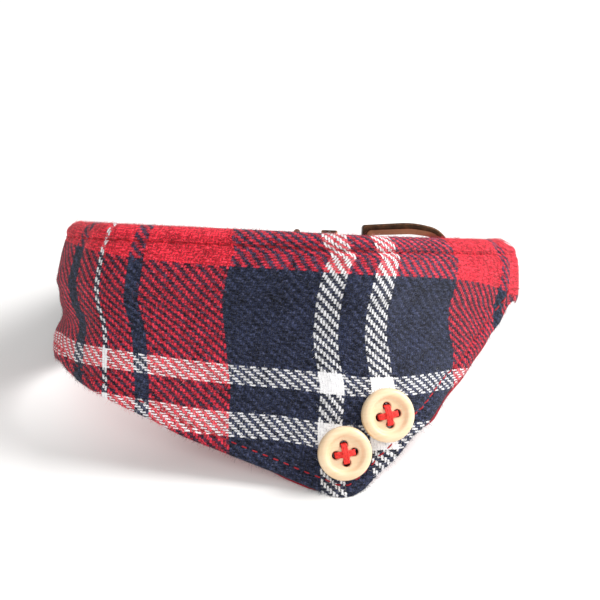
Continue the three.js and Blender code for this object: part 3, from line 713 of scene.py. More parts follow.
bandana = grid_piece(
    "bandana_cloth",
    lay_on_table(ply_column, ply_v, ply_out),
    plaid,
    yarn_place(ply_column, ply_down - QUARTER_TURN + RIM_ROLL),
    ring=True,
    capped=True,
)
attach(bandana, "collar")
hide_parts("bandana_front")
cut_length = (last_down + CLOTH / 2 + QUARTER_TURN + LEG)[:, 0]
cut_area = (cut_length[1:] + cut_length[:-1]) @ np.diff(ply_u) / 2
cut_size = (np.ptp(ply_u) * MM, cut_length.max() * MM)
cut_area * MM * MM

# ---- Nap ------------------------------------------------------------------------------------
# Loose fibres of the brushed face. Most lie on the cloth; shorter ones stand up along the rim and
# the lower edge; and a few long ones curl away from it.

chance = np.random.default_rng(7)


def nap_fibres(name, u, down, length, heading, rise, radius, curl=0.0):
    """Fibres on the ply's face: each leaves its root (u, down) at a heading in the face and rises
    at an angle from it, which lessens along the fibre."""
    share = np.array([0, 0.3, 0.65, 1]) if curl else np.array([0, 0.5, 1])
    turned = heading[:, None] + curl * share * chance.normal(size=(len(u), 1))
    along = length[:, None] * share * np.cos(rise)[:, None]
    height = length[:, None] * np.sin(rise)[:, None] * share * (1.25 - 0.45 * share) - 0.08
    at_u, at_down = u[:, None] + along * np.cos(turned), down[:, None] + along * np.sin(turned)
    out, v = skin(at_u, at_down, height)
    radii = radius * np.broadcast_to(1 - 0.6 * share, height.shape)
    root = yarn_place(u, down - QUARTER_TURN + RIM_ROLL)[:, None]
    uv = np.broadcast_to(root, (*height.shape, 2))
    centres = lay_on_table(at_u, v, out)
    piece = tubes(name, centres, np.array([0.35, 0.25, 0.9]), radii * MM, 3, nap, uv)
    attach(piece, "collar")


FACE_FIBRES = 22000
sown_u = chance.uniform(-167, 91, FACE_FIBRES)
sown_down = chance.uniform(-1.0, 73, FACE_FIBRES)
on_cloth = sown_down < through(EDGE, 1, sown_u) - RIM_ROLL + QUARTER_TURN - 0.6
face_u, face_down = sown_u[on_cloth], sown_down[on_cloth]
count = len(face_u)
standing = chance.random(count) < 0.25
face_rise = np.where(standing, chance.uniform(0.5, 1.2, count), chance.uniform(0.08, 0.4, count))
face_length = np.where(standing, chance.uniform(0.4, 0.9, count), chance.uniform(0.7, 1.9, count))
face_heading = chance.uniform(0, 2 * np.pi, count)
nap_fibres("bandana_nap", face_u, face_down, face_length, face_heading, face_rise, 0.03)

EDGE_FIBRES = 9000
edge_u = chance.uniform(-167, 91, EDGE_FIBRES)
at_rim = chance.random(EDGE_FIBRES) < 0.5
low = through(EDGE, 1, edge_u) - RIM_ROLL + QUARTER_TURN - chance.uniform(0.1, 0.9, EDGE_FIBRES)
fringe_down = np.where(at_rim, chance.normal(0, 1.2, EDGE_FIBRES), low)
any_way = chance.uniform(0, 2 * np.pi, EDGE_FIBRES)
downwards = chance.normal(np.pi / 2, 0.9, EDGE_FIBRES)
edge_heading = np.where(at_rim, any_way, downwards)
rim_rise = chance.uniform(0.3, 1.3, EDGE_FIBRES)
edge_rise = np.where(at_rim, rim_rise, chance.uniform(-0.2, 0.5, EDGE_FIBRES))
edge_length = chance.gamma(4, 0.2, EDGE_FIBRES)
nap_fibres("bandana_edge_nap", edge_u, fringe_down, edge_length, edge_heading, edge_rise, 0.022)

STRAY_FIBRES = 60
stray_u = chance.uniform(-150, 88, STRAY_FIBRES)
stray_down = chance.uniform(0, 1, STRAY_FIBRES) * (through(EDGE, 1, stray_u) - 2)
stray_length = chance.uniform(2.0, 5.0, STRAY_FIBRES)
stray_heading = chance.uniform(0, 2 * np.pi, STRAY_FIBRES)
stray_rise = chance.uniform(0.1, 0.5, STRAY_FIBRES)
nap_fibres(
    "bandana_stray_fibres",
    stray_u,
    stray_down,
    stray_length,
    stray_heading,
    stray_rise,
    0.035,
    curl=1.6,
)

# ---- Lining ---------------------------------------------------------------------------------
# One ply of plain dark-red cotton behind the outer one. Its hem shows as a thin line below the
# outer ply's edge, which is stitched to it.

LINING = 1.0
CLEARANCE = 0.3
PEEPS = [  # where it starts and is full, where it fades and is gone, how far it shows
    (-20, -13, -6, 0, 0.7),
    (22, 34, 60, 65, 2.6),
]
STRAP_WIDTH, STRAP_THICKNESS, STRAP_TOP, STRAP_DEPTH = 15, 2.0, 2.2, 2.5
STRAP_CENTRE = STRAP_TOP + STRAP_WIDTH / 2


def lining_out(u, v):
    """The lining's outer face: behind the strap, and below its foot behind the outer ply."""
    behind_strap = -STRAP_DEPTH - STRAP_THICKNESS / 2 - CLEARANCE
    behind_cloth = face_out(u, v) - CLOTH - CLEARANCE
    return behind_strap + (behind_cloth - behind_strap) * smooth(17.6, 20.5, v)


def cotton_shader(name, red):
    """Plain weave: yarns pass over and under one another in turn."""
    shader = Shader(name, Roughness=0.9, Specular_IOR_Level=0.2)
    place = shader.add("ShaderNodeUVMap", {"uv_map": MAP})
    u, v = (shader.add("ShaderNodeSeparateXYZ", None, (place,), output=k) for k in (0, 1))
    over = (u * np.pi).math("SINE") * (v * np.pi).math("SINE")
    slub = shader.noise(shader.vector(u * 0.12, v), 1.0, 3.0, 0.6)
    tone = over * 0.15 + (slub - 0.5) * 1.2 + 0.9
    shader.finish(Base_Color=shader.mix(1.0, red, shader.vector(tone, tone, tone), "MULTIPLY"))
    shader.bump(over + slub * 0.6, 0.08 * MM)
    return shader.material


lining_edge = edge_v + sum(
    by * smooth(start, full, u_grid) * (1 - smooth(fading, gone, u_grid))
    for start, full, fading, gone, by in PEEPS
)
lining_share = np.linspace(0, 1, 60)
lining_top = HEM_DEPTH + CLEARANCE + LINING / 2
lining_drop = lining_top + (lining_edge - LINING / 2 - lining_top) * lining_share
lining_rows = []
for rows, way in ((lining_drop, 1), (lining_drop[:, ::-1], -1)):
    end = rows[:, -1:]
    middle = lining_out(u_grid, end) - LINING / 2
    lining_rows.append((lining_out(u_grid, rows) - (LINING if way < 0 else 0), rows))
    edge_at = middle + way * np.cos(half_turn) * LINING / 2
    lining_rows.append((edge_at, end + way * np.sin(half_turn) * LINING / 2))
lining_at, lining_v = (np.concatenate([rows[k] for rows in lining_rows], axis=1) for k in (0, 1))
lining_column = np.broadcast_to(u_grid, lining_v.shape)
COTTON_YARN = 0.45
lining = grid_piece(
    "bandana_lining_cloth",
    lay_on_table(lining_column, lining_v, lining_at),
    cotton_shader("red_cotton", linear("a81c2a")),
    np.stack([lining_column, lining_v], -1) / COTTON_YARN,
    ring=True,
    capped=True,
)
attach(lining, "collar")
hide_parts("bandana_lining")
lining_length = (lining_edge - HEM_DEPTH)[:, 0]
lining_area = (lining_length[1:] + lining_length[:-1]) @ np.diff(ply_u) / 2
lining_size = (np.ptp(ply_u) * MM, lining_length.max() * MM)
lining_area * MM * MM

# ---- Topstitching ---------------------------------------------------------------------------
# Red thread: one line all along the rim, sunk in its groove, and one inside the lower edge.
# Each stitch is a short two-ply thread that rises out of the cloth and goes back in.

STITCH_LENGTH = 1.7
STITCH_RADIUS = 0.21


def thread_shader(name, red):
    """Twisted thread: its plies are slanting stripes round it. u counts turns along, v round it."""
    shader = Shader(name, Roughness=0.6, Specular_IOR_Level=0.3)
    place = shader.add("ShaderNodeUVMap", {"uv_map": MAP})
    u, v = (shader.add("ShaderNodeSeparateXYZ", None, (place,), output=k) for k in (0, 1))
    ply = ((u + v) * 2 * np.pi).math("SINE")
    fray = shader.noise(shader.vector(u * 2.0, v * 9.0), 1.0, 3.0, 0.7)
    tone = ply * 0.16 + (fray - 0.5) * 1.2 + 0.92
    shader.finish(Base_Color=shader.mix(1.0, red, shader.vector(tone, tone, tone), "MULTIPLY"))
    shader.bump(ply + fray, 0.06 * MM)
    return shader.material


def stitches(name, place, starts, ends, hump):
    """Stitches in one mesh. place(distance) gives points and outward directions; each stitch goes
    from its start to its end, and its middle stands higher than its ends by the hump."""
    share = np.linspace(0, 1, 9)
    points, away = place(starts[:, None] + (ends - starts)[:, None] * share)
    bulge = np.sin(share * np.pi)
    centres = points + away * ((bulge**0.6 - 0.55) * hump * MM)[:, None]
    radii = STITCH_RADIUS * MM * np.broadcast_to(np.clip(bulge * 2.2, 0.35, 1), centres.shape[:2])
    turns = share * (ends - starts)[:, None] * 0.9
    uv = np.stack([turns, turns * 0], -1)
    piece = tubes(name, centres, away, radii, 8, red_thread, uv)
    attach(piece, "collar")


def on_face(u, down):
    """Points on the ply's outer face, and the directions out of it, in metres."""
    out, v = skin(u, down, 0.0)
    higher_out, higher_v = skin(u, down, 0.5)
    points = lay_on_table(u, v, out)
    away = lay_on_table(u, higher_v, higher_out) - points
    return points, away / np.linalg.norm(away, axis=-1, keepdims=True)


def in_steps(low, high):
    """Starts and ends of stitches between two distances."""
    starts = np.arange(low, high - STITCH_LENGTH, STITCH_PITCH)
    return starts, starts + STITCH_LENGTH


red_thread = thread_shader("red_thread", linear("ae202b"))
rim_down = QUARTER_TURN - RIM_ROLL + TOPSTITCH_DROP
stitches("rim_stitches", lambda at: on_face(at, rim_down + 0 * at), *in_steps(-166, 91), 0.24)

# The line along the hem is worked out by the distance along it.
hem_u = np.arange(-166, 91, 0.1)
hem_slope = np.gradient(through(EDGE, 1, hem_u), hem_u)
hem_v = np.maximum(through(EDGE, 1, hem_u) - hem_width(hem_u) * np.hypot(1, hem_slope), 14.8)
hem_way = np.concatenate([[0], np.cumsum(np.hypot(np.diff(hem_u), np.diff(hem_v)))])


def on_hem(at):
    """Points and outward directions at distances along the hem's line."""
    u = np.interp(at, hem_way, hem_u)
    return on_face(u, np.interp(at, hem_way, hem_v) - RIM_ROLL + QUARTER_TURN)


hem_starts, hem_ends = in_steps(0, hem_way[-1])
longer = 0.8 * smooth(8, 20, np.interp(hem_starts, hem_way, hem_u))
stitches("hem_stitches", on_hem, hem_starts, hem_ends + longer, 0.3)

# ---- Strap ----------------------------------------------------------------------------------
# Webbing covered with the same plaid. One end is folded round the ring and the buckle's bar and
# back through the keeper; the other goes through the buckle and the keeper and ends just past it.
# Stitched along both edges.

BUCKLE_HEEL = (21.5, 76.35)
BUCKLE_FAR = (47.8, 80.79)
BUCKLE_THICKNESS = 2.8
BUCKLE_SLACK = 0.25
LAYER_GAP = 0.4
STRAP_BEND = 2.4
RING_X, RING_DEPTH, RING_WIRE = -1, 76.35, 1.1
TAIL_END = 3.4
TONGUE_RADIUS = 0.95
SPARE_HOLE_X, SPARE_HOLE_RADIUS = 53, 1.2

outer_layer = LOOP_CORNERS[2][1] - STRAP_DEPTH


def inset_corner(index):
    """A corner of the loop moved in to the strap's middle, with its radius to suit."""
    before, at, after = (np.array(LOOP_CORNERS[(index + k) % 6][:2], float) for k in (-1, 0, 1))
    into, out = (at - before) / math.dist(at, before), (after - at) / math.dist(after, at)
    inwards = np.array([-into[1] - out[1], into[0] + out[0]])
    inwards /= np.hypot(*inwards)
    corner = at + inwards * STRAP_DEPTH / math.cos(math.acos(into @ out) / 2)
    return *corner, LOOP_CORNERS[index][2] - STRAP_DEPTH


def strap_corners():
    """The corners of the strap's line, from its folded end round the loop to its free one."""
    (heel_x, heel_d), far_x = BUCKLE_HEEL, BUCKLE_FAR[0]
    fold_layer = 2 * heel_d - outer_layer
    turn = BUCKLE_THICKNESS / 2 + BUCKLE_SLACK + CLEARANCE + STRAP_THICKNESS / 2
    swell = RING_WIRE + CLEARANCE + STRAP_THICKNESS / 2
    over_buckle = heel_d + turn + STRAP_THICKNESS + LAYER_GAP
    over_strap = outer_layer + STRAP_THICKNESS + LAYER_GAP
    round_ring = [(-4, 0), (-1.4, swell), (1.4, swell), (4, 0)]
    corners = [(RING_X - 10, fold_layer, 0)]
    corners += [
        (RING_X + x, RING_DEPTH - by if by else fold_layer, STRAP_BEND) for x, by in round_ring
    ]
    corners += [
        (heel_x - 5.5, fold_layer, STRAP_BEND),
        (heel_x - 1.2, heel_d - turn, STRAP_BEND),
        (heel_x + turn, heel_d - turn, turn),
        (heel_x + turn, heel_d + turn, turn),
        (heel_x - 1.2, heel_d + turn, STRAP_BEND),
        (heel_x - 5.5, outer_layer, STRAP_BEND),
    ]
    corners += [
        (RING_X + x, RING_DEPTH + by if by else outer_layer, STRAP_BEND)
        for x, by in reversed(round_ring)
    ]
    corners += [inset_corner(index) for index in (3, 4, 5, 0, 1, 2)]
    corners += [
        (far_x - 2.4, outer_layer, 4),
        (heel_x + 1.5, over_buckle, 6),
        (heel_x - 3, over_buckle, 4),
        (heel_x - 9, over_strap, 5),
        (TAIL_END, over_strap, 0),
    ]
    return corners


def stations_of(path, straight, arc):
    """Distances along a path: steps of about this many millimetres on its straight runs, and of
    this many degrees on its arcs."""
    stations, start = [0.0], 0.0
    for _, _, bend, length in path.runs:
        fine = length / straight if bend == 0 else math.degrees(length * abs(bend)) / arc
        steps = max(1, math.ceil(fine))
        stations += [start + length * k / steps for k in range(1, steps + 1) if length > 0.02]
        start += length
    return np.array(stations[:-1] if path.closed else stations)


def rounded_section(half_out, half_aside, radius, arc_steps, side_steps):
    """A rectangle with rounded corners, as [point, (out, aside)], and each point's share of edge:
    1 on the corners' arcs, and 0 on the flats between them."""
    angle = np.linspace(0, np.pi / 2, arc_steps + 1)
    points, edge = [], []
    for quarter in range(4):
        side_out, side_aside = [(1, 1), (-1, 1), (-1, -1), (1, -1)][quarter]
        turned = angle + quarter * np.pi / 2
        centre = np.array([side_out * (half_out - radius), side_aside * (half_aside - radius)])
        arc = centre + radius * np.stack([np.cos(turned), np.sin(turned)], -1)
        points += [arc]
        edge += [1.0] * len(arc)
        next_out, next_aside = [(-1, 1), (-1, -1), (1, -1), (1, 1)][quarter]
        next_centre = np.array([next_out * (half_out - radius), next_aside * (half_aside - radius)])
        flat_end = next_centre + radius * np.array([math.cos(turned[-1]), math.sin(turned[-1])])
        share = np.linspace(0, 1, side_steps + 2)[1:-1, None]
        points += [arc[-1] + (flat_end - arc[-1]) * share]
        edge += [0.0] * side_steps
    return np.concatenate(points), np.array(edge)


def along_path(path, stations, out, aside):
    """Points that stand beside a path in the plane of x and d, as the table's coordinates: out to
    its right, and aside down from the rim."""
    point, normal = path(stations)
    out, aside = np.broadcast_arrays(out, aside)
    beside = point[:, None] + normal[:, None] * out[..., None]
    return to_table(beside[..., 0], beside[..., 1], aside)


def carve(piece, cutters):
    """Cuts the cutters out of a piece for good, and removes them."""
    for cutter in cutters:
        cut = piece.modifiers.new("cut", "BOOLEAN")
        cut.operation, cut.solver, cut.object = "DIFFERENCE", "EXACT", cutter
    uncut = piece.data
    solved = piece.evaluated_get(bpy.context.evaluated_depsgraph_get())
    piece.data = bpy.data.meshes.new_from_object(solved)
    piece.modifiers.clear()
    for cutter in cutters:
        bpy.data.meshes.remove(cutter.data)
    bpy.data.meshes.remove(uncut)
    piece.data.set_sharp_from_angle(angle=math.radians(40))


def rod(name, path, radius, sides, material, drop, wear=0.5):
    """A round rod along an open path, at one drop from the rim, with domed ends. Its map holds how
    worn it is, more on its outside, and the distance along it."""
    dome = radius * (1 - np.cos(np.linspace(0.2, np.pi / 2, 6)))
    inner = stations_of(path, 1.0, 6.0)
    inner = inner[(inner > dome[-1]) & (inner < path.length - dome[-1])]
    stations = np.concatenate([dome, inner, path.length - dome[::-1]])
    to_end = np.minimum(np.minimum(stations, path.length - stations), radius) / radius
    radii = radius * np.sqrt(1 - (1 - to_end) ** 2)
    angle = np.arange(sides) * 2 * np.pi / sides
    out, aside = radii[:, None] * np.cos(angle), radii[:, None] * np.sin(angle)
    points = along_path(path, stations, out, drop + aside)
    uv = np.stack(np.broadcast_arrays(wear * (0.5 + 0.5 * np.cos(angle)), stations[:, None]), -1)
    return grid_piece(name, points, material, uv, ring=True, capped=True)


strap_path = RoundedPath(strap_corners(), closed=False)
strap_at = stations_of(strap_path, 0.8, 5.0)
strap_section, _ = rounded_section(STRAP_THICKNESS / 2, STRAP_WIDTH / 2, 0.8, 5, 16)
STRAP_SEAM = 1.8
seam = bump_at(np.abs(strap_section[:, 1]), STRAP_WIDTH / 2 - STRAP_SEAM, 0.6)
pull = 0.22 * seam * (0.75 + 0.25 * np.cos(strap_at * 2 * np.pi / STITCH_PITCH))[:, None]
strap_out = strap_section[:, 0] - np.sign(strap_section[:, 0]) * pull
strap_aside = np.broadcast_to(STRAP_CENTRE + strap_section[:, 1], strap_out.shape)
strap = grid_piece(
    "strap_cloth",
    along_path(strap_path, strap_at, strap_out, strap_aside),
    plaid,
    np.stack([np.broadcast_to(strap_at[:, None] / YARN, strap_out.shape), strap_aside / PICK], -1),
    ring=True,
    capped=True,
)


def tongue_path():
    """The tongue's line: an eye round the heel bar, then over to the far one."""
    (heel_x, heel_d), (far_x, far_d) = BUCKLE_HEEL, BUCKLE_FAR
    eye = BUCKLE_THICKNESS / 2 + BUCKLE_SLACK + CLEARANCE + TONGUE_RADIUS
    on_bar = far_d + BUCKLE_THICKNESS / 2 + CLEARANCE + TONGUE_RADIUS + 0.05
    return RoundedPath(
        [
            (heel_x + 1.4, heel_d - eye, 0),
            (heel_x - eye, heel_d - eye, eye - 0.1),
            (heel_x - eye, heel_d + eye, eye - 0.1),
            (heel_x + eye - 0.6, heel_d + eye - 0.4, 1.4),
            (heel_x + 13, heel_d + 3.0, 8),
            (far_x - 1.2, on_bar, 8),
            (far_x + 2.4, on_bar + 0.1, 0),
        ],
        closed=False,
    )


punch = RoundedPath([(SPARE_HOLE_X, outer_layer - 4, 0), (SPARE_HOLE_X, outer_layer + 4, 0)], closed=False)
carve(
    strap,
    [
        rod("tongue_hole", tongue_path(), TONGUE_RADIUS + CLEARANCE, 20, plaid, STRAP_CENTRE),
        rod("spare_hole", punch, SPARE_HOLE_RADIUS, 20, plaid, STRAP_CENTRE),
    ],
)
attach(strap, "collar")
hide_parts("strap")


def on_strap(side, edge):
    """Points and outward directions along one edge of one face of the strap."""

    def place(at):
        at = np.asarray(at)
        drop = STRAP_CENTRE + edge * (STRAP_WIDTH / 2 - STRAP_SEAM)
        faces = [
            along_path(strap_path, at.ravel(), np.full((at.size, 1), side * out), drop)
            for out in (STRAP_THICKNESS / 2 - 0.18, STRAP_THICKNESS / 2 + 0.5)
        ]
        points, higher = (face.reshape(*at.shape, 3) for face in faces)
        away = higher - points
        return points, away / np.linalg.norm(away, axis=-1, keepdims=True)

    return place


# The bandana hides the strap between its own two ends.
behind = strap_path(np.arange(0, strap_path.length, 0.5))[0][:, 1] > 66
hidden = np.flatnonzero(~behind) * 0.5
for place, (low, high) in (("fold", (1.5, hidden[0])), ("tail", (hidden[-1], strap_path.length - 1.5))):
    for side, face in ((1, "outer"), (-1, "inner")):
        for edge, line in ((1, "low"), (-1, "top")):
            stitched = f"strap_{place}_{face}_{line}_stitches"
            stitches(stitched, on_strap(side, edge), *in_steps(low, high), 0.3)

# ---- Buckle, keeper and ring ----------------------------------------------------------------
# Cast zinc with an antique bronze finish: dark in its hollows and on its faces, and rubbed to
# brown copper along its edges. The buckle's broad inner bevel is copper all over, as a painted
# reflection.

BUCKLE_TURN = math.atan2(BUCKLE_FAR[1] - BUCKLE_HEEL[1], BUCKLE_FAR[0] - BUCKLE_HEEL[0])
BUCKLE_SPAN = math.dist(BUCKLE_HEEL, BUCKLE_FAR)
BUCKLE_DROP = 8.95
HEEL_HALF, CROWN_AT, CROWN_HALF, FAR_HALF = 11.9, 15.5, 13.45, 11.0
BUCKLE_BAR, HEEL_BAR = 3.9, 2.6
KEEPER_X, KEEPER_WIDTH, KEEPER_WALL, KEEPER_SLACK = 9.6, 5.2, 1.5, 1.5
RING_HALF, RING_ARM, RING_DROP = 9.2, 3, 9.5


def bronze_shader(name):
    """Antiqued metal. The map's u is wear, which on the buckle's bevel stands for a painted
    reflection, and v the distance along in millimetres.
    """
    shader = Shader(name, Metallic=1.0)
    place = shader.add("ShaderNodeUVMap", {"uv_map": MAP})
    wear, along = (shader.add("ShaderNodeSeparateXYZ", None, (place,), output=k) for k in (0, 1))
    spot = shader.add("ShaderNodeTexCoord", None, (), output=3)
    cloud = shader.noise(spot, 260.0, 4.0, 0.65)
    grit = shader.noise(spot, 1900.0, 3.0, 0.7)
    rub = shader.noise(shader.vector(along * 0.7, wear), 1.0, 3.0, 0.6)
    tint = shader.add("ShaderNodeValToRGB", {"stops": [
        (0.38, linear("352820")), (0.52, linear("4a372a")), (0.66, linear("6b4833")),
    ]}, (cloud * 0.75 + grit * 0.25,))
    # Worn places turn to copper, and so does the buckle's bevel, as a painted reflection.
    worn = (wear * 1.3 + rub * 0.9 - 1.15).math("MAXIMUM", 0.0).math("MINIMUM", 0.75)
    colour = shader.mix(worn, tint, linear("b37c60"))
    shader.finish(Base_Color=colour, Roughness=0.46 - worn * 0.16 + (grit - 0.5) * 0.3)
    shader.bump(cloud + grit * 0.5, 0.05 * MM)
    return shader.material


bronze = bronze_shader("antique_bronze")


def metal(piece, node, body="collar"):
    """Puts a bronze piece on the body it rides on, and hides the imported solid it stands in for."""
    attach(piece, body)
    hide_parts(node)


def buckle_line(inset, bar):
    """The frame's outline, inset from its outside: square at the bar that the strap is folded
    round, highest at its crown, and round at the end that the tongue meets. In the frame's own
    plane, from that bar."""
    left, right = -HEEL_BAR / 2 + bar, BUCKLE_SPAN + BUCKLE_BAR / 2 - inset
    heel, crown, far = HEEL_HALF - inset * 0.84, CROWN_HALF - inset, FAR_HALF - inset * 0.6
    upper = [
        (left, -heel, 1.0 + inset * 0.4),
        (CROWN_AT, -crown, 30 - inset),
        (right, -far, 9.0 - inset * 1.1),
    ]
    lower = [(x, -v, radius) for x, v, radius in reversed(upper)]
    return RoundedPath(upper + lower, closed=True)


def sample_runs(path, straight_steps, arc_steps):
    """Distances along a path, as many on each of its runs as on the same run of a path like it."""
    stations, start = [], 0.0
    for _, _, bend, length in path.runs:
        steps = arc_steps if bend else straight_steps
        stations += [start + length * k / steps for k in range(steps)]
        start += length
    return np.array(stations)


outside, inside = buckle_line(0, 0), buckle_line(BUCKLE_BAR, HEEL_BAR)
outer_line, inner_line = (path(sample_runs(path, 24, 14))[0] for path in (outside, inside))
BEVEL = 2.1
bar_section, on_edge = rounded_section(BUCKLE_BAR / 2, BUCKLE_THICKNESS / 2, 0.6, 5, 6)
# A broad bevel runs round the inside of the face that looks at the neck.
from_inside = np.clip((bar_section[:, 0] + BUCKLE_BAR / 2) / BEVEL, 0, 1)
on_bevel = (bar_section[:, 1] < 0) & (from_inside < 1)
thinned = np.where(on_bevel, np.maximum(bar_section[:, 1], -0.4 - from_inside), bar_section[:, 1])
bevelled = np.stack([bar_section[:, 0], thinned], -1)
# Where the bevel brings two points of the section together, one of them is dropped.
apart = np.linalg.norm(bevelled - np.roll(bevelled, 1, axis=0), axis=1) > 1e-6
bar_in, bar_thick = bevelled[apart].T
# Rubbed edges get some real wear; the bevel gets more than any, as a painted reflection.
frame_wear_and_reflection = np.where(on_bevel, 1.15, on_edge * 0.6)[apart]
across = bar_in / BUCKLE_BAR + 0.5
flat = inner_line[:, None] + (outer_line - inner_line)[:, None] * across[:, None]
frame_x = BUCKLE_HEEL[0] + flat[..., 0] * math.cos(BUCKLE_TURN) - bar_thick * math.sin(BUCKLE_TURN)
frame_d = BUCKLE_HEEL[1] + flat[..., 0] * math.sin(BUCKLE_TURN) + bar_thick * math.cos(BUCKLE_TURN)
way = np.arange(len(flat))[:, None] * 0.8
buckle_frame = grid_piece(
    "buckle_frame_metal",
    to_table(frame_x, frame_d, BUCKLE_DROP + flat[..., 1]),
    bronze,
    np.stack(np.broadcast_arrays(frame_wear_and_reflection, way), -1),
    ring=True,
    closed=True,
)
metal(buckle_frame, "buckle_frame")

buckle_tongue = rod("buckle_tongue_metal", tongue_path(), TONGUE_RADIUS, 24, bronze, STRAP_CENTRE, 1.0)
metal(buckle_tongue, "buckle_tongue")

# The keeper is a flat band bent into a box; its line is drawn in depth and drop.
keeper_low = 2 * BUCKLE_HEEL[1] - outer_layer - STRAP_THICKNESS / 2 - CLEARANCE
keeper_high = outer_layer + 1.5 * STRAP_THICKNESS + LAYER_GAP + CLEARANCE
keeper_half = STRAP_WIDTH / 2 + KEEPER_SLACK
keeper_corners = [
    (keeper_low if d_side < 0 else keeper_high, STRAP_CENTRE + v_side * keeper_half)
    for d_side, v_side in ((-1, -1), (1, -1), (1, 1), (-1, 1))
]
middle = np.mean(keeper_corners, axis=0)
keeper_line = RoundedPath(
    [
        (*(np.array(corner) + np.sign(np.array(corner) - middle) * KEEPER_WALL / 2), 1.0)
        for corner in keeper_corners
    ],
    closed=True,
)
keeper_section, keeper_edge = rounded_section(KEEPER_WALL / 2, KEEPER_WIDTH / 2, 0.45, 4, 4)
keeper_at = stations_of(keeper_line, 0.8, 8.0)
keeper_point, keeper_normal = keeper_line(keeper_at)
keeper_wall = keeper_point[:, None] + keeper_normal[:, None] * keeper_section[:, :1]
keeper = grid_piece(
    "keeper_metal",
    to_table(KEEPER_X + keeper_section[:, 1], keeper_wall[..., 0], keeper_wall[..., 1]),
    bronze,
    np.stack(np.broadcast_arrays(keeper_edge, keeper_at[:, None]), -1),
    ring=True,
    closed=True,
)
metal(keeper, "keeper")

# The ring's straight bar runs down inside the fold of the strap, and its bow stands out behind.
bow = RING_DEPTH + RING_ARM + RING_HALF
ring_line = RoundedPath(
    [
        (RING_DEPTH, RING_DROP - RING_HALF, 1.6),
        (bow, RING_DROP - RING_HALF, RING_HALF - 0.01),
        (bow, RING_DROP + RING_HALF, RING_HALF - 0.01),
        (RING_DEPTH, RING_DROP + RING_HALF, 1.6),
    ],
    closed=True,
)
wire_angle = np.arange(24) * np.pi / 12
ring_at = stations_of(ring_line, 0.8, 5.0)
ring_point, ring_normal = ring_line(ring_at)
ring_wire = ring_point[:, None] + ring_normal[:, None] * (RING_WIRE * np.cos(wire_angle))[:, None]
d_ring = grid_piece(
    "d_ring_metal",
    to_table(RING_X + RING_WIRE * np.sin(wire_angle), ring_wire[..., 0], ring_wire[..., 1]),
    bronze,
    np.stack(np.broadcast_arrays(0.5 + 0.5 * np.cos(wire_angle), ring_at[:, None]), -1),
    ring=True,
    closed=True,
)
metal(d_ring, "d_ring", "ring")

# ---- Buttons --------------------------------------------------------------------------------
# Turned beech, waxed: a rounded crest round a shallow dish, with four holes. Each is sewn on with
# a cross of thick red thread, four strands to an arm, which goes down through the holes.

BUTTON_RADIUS, BUTTON_THICKNESS = 7.5, 3.6
DISH_DEPTH = 1.1
HOLE_RADIUS, HOLE_RING = 1.1, 2.6
BUTTONS = [  # name, u and v of its middle, turn of its holes, how far it faces back and stands off
    ("button_lower", 2.4, 60.2, 12, 0, 0.3),
    ("button_upper", 13.9, 49.8, 12, 10, 0.9),
]
HOLE_SHADE_ATTRIBUTE = "drilled"


def wood_shader(name):
    """Beech: fine streaks along the grain, crossed by short dark flecks, and dark brown down inside
    the holes as painted shade. The map is the button's own x, along the grain, and y, in millimetres."""
    shader = Shader(name, Roughness=0.42, Coat_Weight=0.12, Coat_Roughness=0.35)
    place = shader.add("ShaderNodeUVMap", {"uv_map": MAP})
    x, y = (shader.add("ShaderNodeSeparateXYZ", None, (place,), output=k) for k in (0, 1))
    streak = shader.noise(shader.vector(x * 0.12, y * 1.5), 1.0, 4.0, 0.65)
    fleck = shader.noise(shader.vector(x * 0.9, y * 5.0, 2.0), 1.0, 2.0, 0.5)
    broad = shader.noise(place, 0.16, 2.0)
    tone = shader.add("ShaderNodeValToRGB", {"stops": [
        (0.3, linear("ecc99c")), (0.5, linear("f3d5ae")), (0.7, linear("f6dfbd")),
    ]}, (streak * 0.6 + broad * 0.4,))
    dark = ((fleck - 0.66) * 4.0).math("MAXIMUM", 0.0).math("MINIMUM", 0.25)
    wood_colour = shader.mix(dark * 0.6, tone, linear("d3ae7e"))
    # Painted shade inside the holes.
    drilled = shader.add("ShaderNodeAttribute", {"attribute_name": HOLE_SHADE_ATTRIBUTE}, (), output=2)
    shader.finish(Base_Color=shader.mix(drilled, wood_colour, linear("8a3a22")))
    shader.finish(Roughness=0.36 + streak * 0.14)
    shader.bump(streak + fleck * 0.5, 0.02 * MM)
    return shader.material


def button_frame(u, v, turn, facing, lift):
    """A button's own axes, as a matrix's rows, and its origin, in metres: flat on the cloth, then
    faced back to the front round its upright axis, and turned in its own plane."""
    reach = BUTTON_RADIUS / 2

    def face(du, dv):
        at = on_loop(u + du, v + dv, face_out(u + du, v + dv))
        return to_table(*(np.asarray(part) for part in at))

    along = face(reach, 0) - face(-reach, 0)
    along /= np.linalg.norm(along)
    out = np.cross(face(0, reach) - face(0, -reach), along)
    out /= np.linalg.norm(out)
    up = np.cross(out, along)
    origin = face(0, 0) + out * lift * MM
    cosine, sine = math.cos(math.radians(facing)), math.sin(math.radians(facing))
    along, out = along * cosine + out * sine, out * cosine - along * sine
    cosine, sine = math.cos(math.radians(turn)), math.sin(math.radians(turn))
    return np.stack([along * cosine + up * sine, up * cosine - along * sine, out]), origin


def turned_piece(name, profile, steps, sides, material):
    """A lathe-turned solid about its own z from a rounded profile of (radius, height), in mm."""
    line = RoundedPath(profile, closed=False)
    radius, height = line(stations_of(line, steps, 9.0))[0].T
    angle = np.arange(sides) * 2 * np.pi / sides
    points = np.stack(
        np.broadcast_arrays(
            radius[:, None] * np.cos(angle), radius[:, None] * np.sin(angle), height[:, None]
        ),
        -1,
    )
    return grid_piece(name, points, material, ring=True, capped=True)


